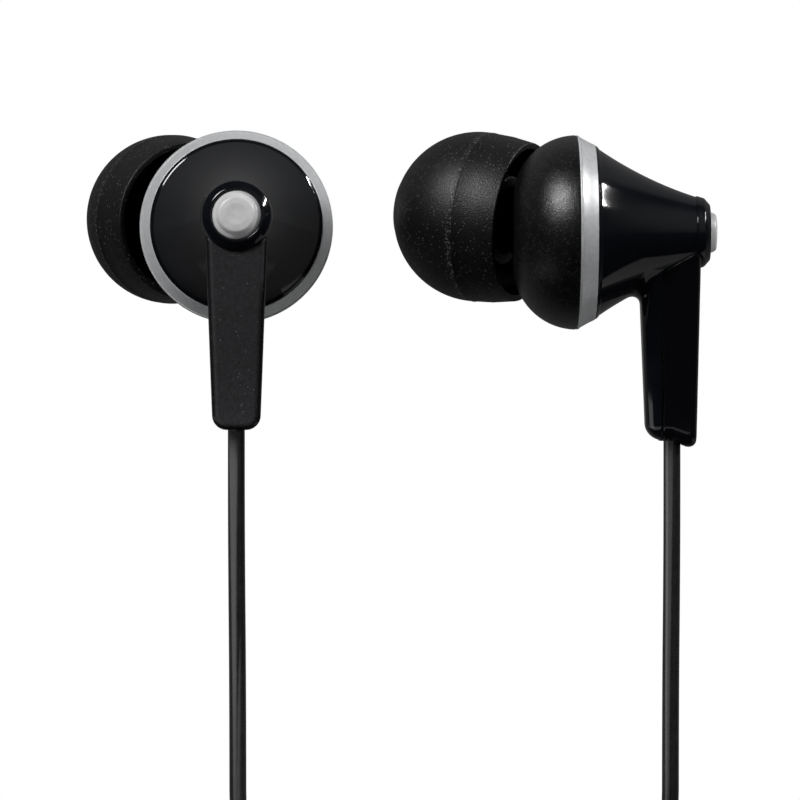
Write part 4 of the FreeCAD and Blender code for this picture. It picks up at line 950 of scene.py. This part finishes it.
bush_rubber = plain("bush_rubber", (0.017, 0.017, 0.017), 0.5, grain=0.3)
crimp_brass = plain("crimp_brass", (0.62, 0.50, 0.30), 0.34, metallic=0.95, grain=0.5, contrast=0.12)
dressed(crimp_brass, "cord_clamp")
bush_radius, bush_bore = 1.0, 0.625
bush_section = softened([
    (bush_top, bush_bore, 0.05), (step_height, bush_bore, 0.15), (step_height, bush_radius, 0.2),
    (bush_top, bush_radius, 0.1)])
down_the_stem = Matrix.Translation((cord_line, 0, 0)) @ Matrix.Rotation(math.radians(-90), 4, "Y")
on_both_sides(
    "cord_bush", lambda name, place, side: turned(name, bush_section, place @ down_the_stem, side, 64),
    "bush_rubber", bush_rubber, "cord_bushing")


# The drivers: a diaphragm of clear film with a stiff dome, its copper coil in the gap of a steel
# cup with a disc magnet, all in a moulded basket that is clamped on a foam gasket.
dressed(plain("gasket_foam", (0.03, 0.03, 0.03), 0.85, grain=0.12, contrast=0.5), "driver_gasket")
dressed(plain("roll_film", (0.30, 0.30, 0.31), 0.22, grain=0.8, contrast=0.1), "surround")
dome_film = plain("dome_film", (0.45, 0.46, 0.48), 0.28, metallic=0.3, grain=0.6, contrast=0.08)
dressed(dome_film, "diaphragm_dome")
dressed(plain("basket_black", (0.05, 0.05, 0.05), 0.5, grain=0.4), "driver_frame")
cup_steel = plain("cup_steel", (0.5, 0.5, 0.5), 0.35, metallic=0.9, grain=0.7, contrast=0.1)
dressed(cup_steel, "yoke", "pole_plate")
dressed(plain("magnet_nickel", (0.62, 0.62, 0.63), 0.2, metallic=0.95, grain=0.9, contrast=0.06), "magnet")
dressed(plain("damping_felt", (0.55, 0.53, 0.48), 0.9, grain=0.08, contrast=0.35), "damping_felt")
dressed(plain("board_green", (0.03, 0.16, 0.07), 0.4, grain=0.5), "solder_board")


def winding(start):
    """Fine turns of wire one beside the other."""
    return start.node(
        "ShaderNodeTexWave", {"bands_direction": "DIAGONAL"},
        {"Vector": place_on_piece(start), "Scale": 4 / MM, "Distortion": 0.3})


coil_copper = finish(
    "coil_copper",
    lambda start: winding(start).tint((0.45, 0.20, 0.10), (0.66, 0.34, 0.18)),
    uneven(0.3, 0.28, 0.1),
    metallic=0.9,
    bump=winding,
    bump_height=0.01)
dressed(coil_copper, "voice_coil")


# The leads: two enamelled wires in each earpiece, from the cord's end up the stem and through
# the cone to the solder board on the back of the driver.
lead_enamel = plain("lead_enamel", (0.55, 0.22, 0.12), 0.3, grain=0.4, contrast=0.15)
lead_thickness, lead_spread = 0.26, 0.5
for side_name, (place, side) in SIDES.items():
    lines = [[place @ Vector(stop) for stop in (
        (cord_line, 0.6 * across, -10.9), (cord_line, across, -6.9), (-6.62, across, -3.2),
        (-5.12, 1.2 * across, -1.7), (-2.6, 1.5 * across, -3.1), (-0.78, 1.8 * across, -4.1),
        (0.52, 1.8 * across, -4.1))] for across in (-lead_spread, lead_spread)]
    wires = round_curve(f"{side_name}_leads", lines, lead_thickness * MM, 8, 4)
    pair = add_piece(f"{side_name}_leads", wires, "set", "lead_enamel", lead_enamel)
    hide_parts(f"{side_name}_lead_wires")


# The tie: a soft rubber band round the waist of the hanks, which keeps the put-away cord
# together. Its fine ribs give the fingers a grip.
def oblong(x, y, half_width, half_depth, corner):
    """A field that is zero on an oblong with rounded corners."""
    out_x, out_y = np.abs(x) - half_width + corner, np.abs(y) - half_depth + corner
    inside = np.minimum(np.maximum(out_x, out_y), 0)
    return inside + np.hypot(np.maximum(out_x, 0), np.maximum(out_y, 0)) - corner


tie_half_width, tie_half_depth, tie_corner, tie_height = 11.5125, 5.8, 2.5, 3.0
tie_wall, rib_height, tie_wall_round, tie_edge_round = 0.8, 0.08, 0.1, 0.25


def tie_field(x, y, z):
    """The band without its ribs, which stand proud of it."""
    inner = oblong(x, y, tie_half_width, tie_half_depth, tie_corner)
    band = round_cut(inner - tie_wall + rib_height, -inner, tie_wall_round)
    return round_cut(band, np.abs(z) - tie_height / 2, tie_edge_round)


def round_a_band(given):
    """Points spaced evenly along an oblong with rounded corners."""
    outline = given["Width"].node(
        "GeometryNodeCurvePrimitiveQuadrilateral", {}, {"Width": given["Width"], "Height": given["Depth"]})
    rounded = outline.node(
        "GeometryNodeFilletCurve", {"mode": "POLY"},
        {"Curve": outline, "Count": 12, "Radius": given["Corner"]})
    return rounded.node(
        "GeometryNodeCurveToPoints", {"mode": "COUNT"}, {"Curve": rounded, "Count": given["Count"]})


def bar(name, length, width, height, corner):
    """A bar with rounded edges, its middle at the origin; sizes in millimetres."""
    shape = bmesh.new()
    bmesh.ops.create_cube(shape, size=MM)
    bmesh.ops.scale(shape, vec=(length, width, height), verts=shape.verts)
    bmesh.ops.bevel(shape, geom=shape.edges[:], offset=corner * MM, segments=3, affect="EDGES", profile=0.5)
    data = as_mesh(shape, name)
    data.shade_smooth()
    return data


tie_rubber = plain("tie_rubber", (0.026, 0.026, 0.027), 0.55, grain=0.6)
hank_place = Matrix.Scale(MM, 4) @ Matrix.Translation(hank_middle)
tie_surface = field_surface(tie_field, low=(-12.7, -7.0, -1.9), high=(12.7, 7.0, 1.9), cell=0.16)
tie_mesh = surface_mesh("hank_band", tie_surface, hank_place)
hank_band = add_piece("hank_band", tie_mesh, "set", "tie_rubber", tie_rubber)
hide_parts("cord_tie")
tie_line = {
    "Width": 2 * (tie_half_width + tie_wall - rib_height) * MM,
    "Depth": 2 * (tie_half_depth + tie_wall - rib_height) * MM,
    "Corner": (tie_corner + tie_wall) * MM,
    "Count": 104}
tie_rib = bar("tie_rib", length=0.34, width=2 * rib_height, height=2.3, corner=0.07)
tie_ribs = repeated("hank_band_ribs", tie_rib, tie_rubber, tie_line, round_a_band)
tie_ribs.transform(Matrix.Translation(hank_middle * MM))
add_piece("hank_band_ribs", tie_ribs, "set", "tie_rubber")


# The splitter: a moulded joint where the two thin cords run into the thick one, each in its own
# socket. A groove runs round it near each end.
splitter_top, splitter_length = -42.0125, 10.0
splitter_half_width, splitter_half_depth, splitter_corner, splitter_round = 2.2, 1.5, 1.0, 0.35
groove_from_end, groove_radius = 1.6, 0.16
socket_spread, socket_depth, socket_play = 0.95, 1.0, 0.03


def splitter_field(x, y, z):
    """The block, less its two grooves, the two thin cords' sockets and the thick cord's."""
    outline = oblong(x, y, splitter_half_width, splitter_half_depth, splitter_corner)
    block = round_cut(outline, np.abs(z + splitter_length / 2) - splitter_length / 2, splitter_round)
    for height in (-groove_from_end, groove_from_end - splitter_length):
        block = np.maximum(block, groove_radius - np.hypot(outline, z - height))
    for across in (-socket_spread, socket_spread):
        width = np.hypot(x - across, y) - thin_cord / 2 - socket_play
        block = np.maximum(block, -np.maximum(width, -socket_depth - z))
    width = np.hypot(x, y) - thick_cord / 2 - socket_play
    return np.maximum(block, -np.maximum(width, z + splitter_length - socket_depth))


splitter_black = plain("splitter_black", (0.018, 0.018, 0.018), 0.42, grain=0.5)
splitter_surface = field_surface(splitter_field, low=(-2.5, -1.9, -10.4), high=(2.5, 1.9, 0.4), cell=0.11)
splitter_place = hank_place @ Matrix.Translation((0, 0, splitter_top))
splitter_mesh = surface_mesh("cord_joint", splitter_surface, splitter_place)
cord_joint = add_piece("cord_joint", splitter_mesh, "set", "splitter_plastic", splitter_black)
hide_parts("cord_splitter")


# The plug: a 3.5 mm three-contact pin in a ribbed grip, with a grooved rubber relief on the cord.
# The gilt contacts are kept apart by dark insulators that reach through to the grip.
plug_place = Matrix.Scale(MM, 4) @ placed(0, 90, (9.167717, -18.821205, -108.786055))
relief_length, relief_top, relief_end = 8.0, 1.5, 2.2
relief_socket_depth, relief_socket_radius = 1.0, 0.93
grip_length, grip_radius, grip_nose, grip_nose_radius = 14.0, 3.25, 2.8, 2.6
pin_radius, core_radius, sleeve_bore, insulator_radius, contact_round = 1.75, 0.6, 1.2, 1.74, 0.05
grip_end = relief_length + grip_length
sleeve_end, ring_start = grip_end + 6.6, grip_end + 7.2
ring_end, tip_start, tip_end = ring_start + 2.2, ring_start + 2.8, ring_start + 6.8


def relief_line():
    """The half section of the relief, with its five grooves."""
    grooves, groove_half, groove_depth = 5, 0.35, 0.5
    line = [
        (relief_socket_depth, 0, 0), (relief_socket_depth, relief_socket_radius, 0),
        (0, relief_socket_radius, 0.1), (0, relief_top, 0.25)]
    for number in range(1, grooves + 1):
        share = number / (grooves + 1)
        middle, radius = relief_length * share, relief_top + (relief_end - relief_top) * share
        line += [
            (middle - groove_half, radius, 0.12), (middle - groove_half, radius - groove_depth, 0.1),
            (middle + groove_half, radius - groove_depth, 0.1), (middle + groove_half, radius, 0.12)]
    return line + [(relief_length, relief_end, 0), (relief_length, 0, 0)]


def contact_line(start, end):
    """The half section of a contact that is a short tube."""
    return [
        (start, sleeve_bore, 0), (start, pin_radius, contact_round), (end, pin_radius, contact_round),
        (end, sleeve_bore, 0)]


relief_rubber = plain("relief_rubber", (0.017, 0.017, 0.017), 0.5, grain=0.4)
grip_black = plain("grip_black", (0.020, 0.020, 0.020), 0.4, grain=0.6)
contact_gold = plain("contact_gold", (0.83, 0.64, 0.32), 0.26, metallic=0.7, grain=0.9, contrast=0.06)
insulator_black = plain("insulator_black", (0.03, 0.03, 0.03), 0.4, grain=0.5)
PLUG_PIECES = (
    ("cord_boot", "plug_relief", "relief_rubber", relief_rubber, relief_line()),
    ("plug_handle", "plug_grip", "grip_plastic", grip_black, [
        (relief_length, 0, 0), (relief_length, grip_radius, 0.8), (grip_end - grip_nose, grip_radius, 0.6),
        (grip_end, grip_nose_radius, 0.15), (grip_end, 0, 0)]),
    ("ground_contact", "plug_sleeve", "contact_metal", contact_gold, contact_line(grip_end, sleeve_end)),
    ("pin_insulator", "plug_insulators", "insulator", insulator_black, [
        (grip_end, core_radius, 0), (grip_end, sleeve_bore, 0), (sleeve_end, sleeve_bore, 0),
        (sleeve_end, insulator_radius, 0), (ring_start, insulator_radius, 0),
        (ring_start, sleeve_bore, 0), (ring_end, sleeve_bore, 0), (ring_end, insulator_radius, 0),
        (tip_start, insulator_radius, 0), (tip_start, core_radius, 0)]),
    ("middle_contact", "plug_ring", "contact_metal", contact_gold, contact_line(ring_start, ring_end)),
    ("end_contact", "plug_tip", "contact_metal", contact_gold, [
        (grip_end, 0, 0), (grip_end, core_radius, 0), (tip_start, core_radius, 0),
        (tip_start, pin_radius, contact_round), (tip_start + 0.8, pin_radius, 0.15),
        (tip_start + 1.6, 1.15, 0.3), (tip_start + 2.6, 0.93 * pin_radius, 0.4), (tip_end, 0.25, 0.1),
        (tip_end, 0, 0)]))
for piece_name, cad_name, slot_name, material, section in PLUG_PIECES:
    part_mesh = turned(piece_name, softened(section), plug_place, segments=96)
    part = add_piece(piece_name, part_mesh, "set", slot_name, material)
    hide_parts(cad_name)
grip_line = {
    "Width": 2 * grip_radius * MM, "Depth": 2 * grip_radius * MM, "Corner": grip_radius * MM, "Count": 36}
grip_rib_length, grip_rib_middle = 8.0, relief_length + 6.0
grip_rib = bar("grip_rib", length=0.26, width=0.16, height=grip_rib_length, corner=0.07)
grip_ribs = repeated("plug_handle_ribs", grip_rib, grip_black, grip_line, round_a_band)
grip_ribs.transform(
    plug_place @ Matrix.Translation((grip_rib_middle, 0, 0))
    @ Matrix.Rotation(math.radians(90), 4, "Y") @ Matrix.Scale(1 / MM, 4))
add_piece("plug_handle_ribs", grip_ribs, "set", "grip_plastic")


# Where the left cord leaves its stem and where the thick cord leaves the splitter, in metres.
# Nothing is done with these values.
left_route[0] * MM
thick_route[0] * MM
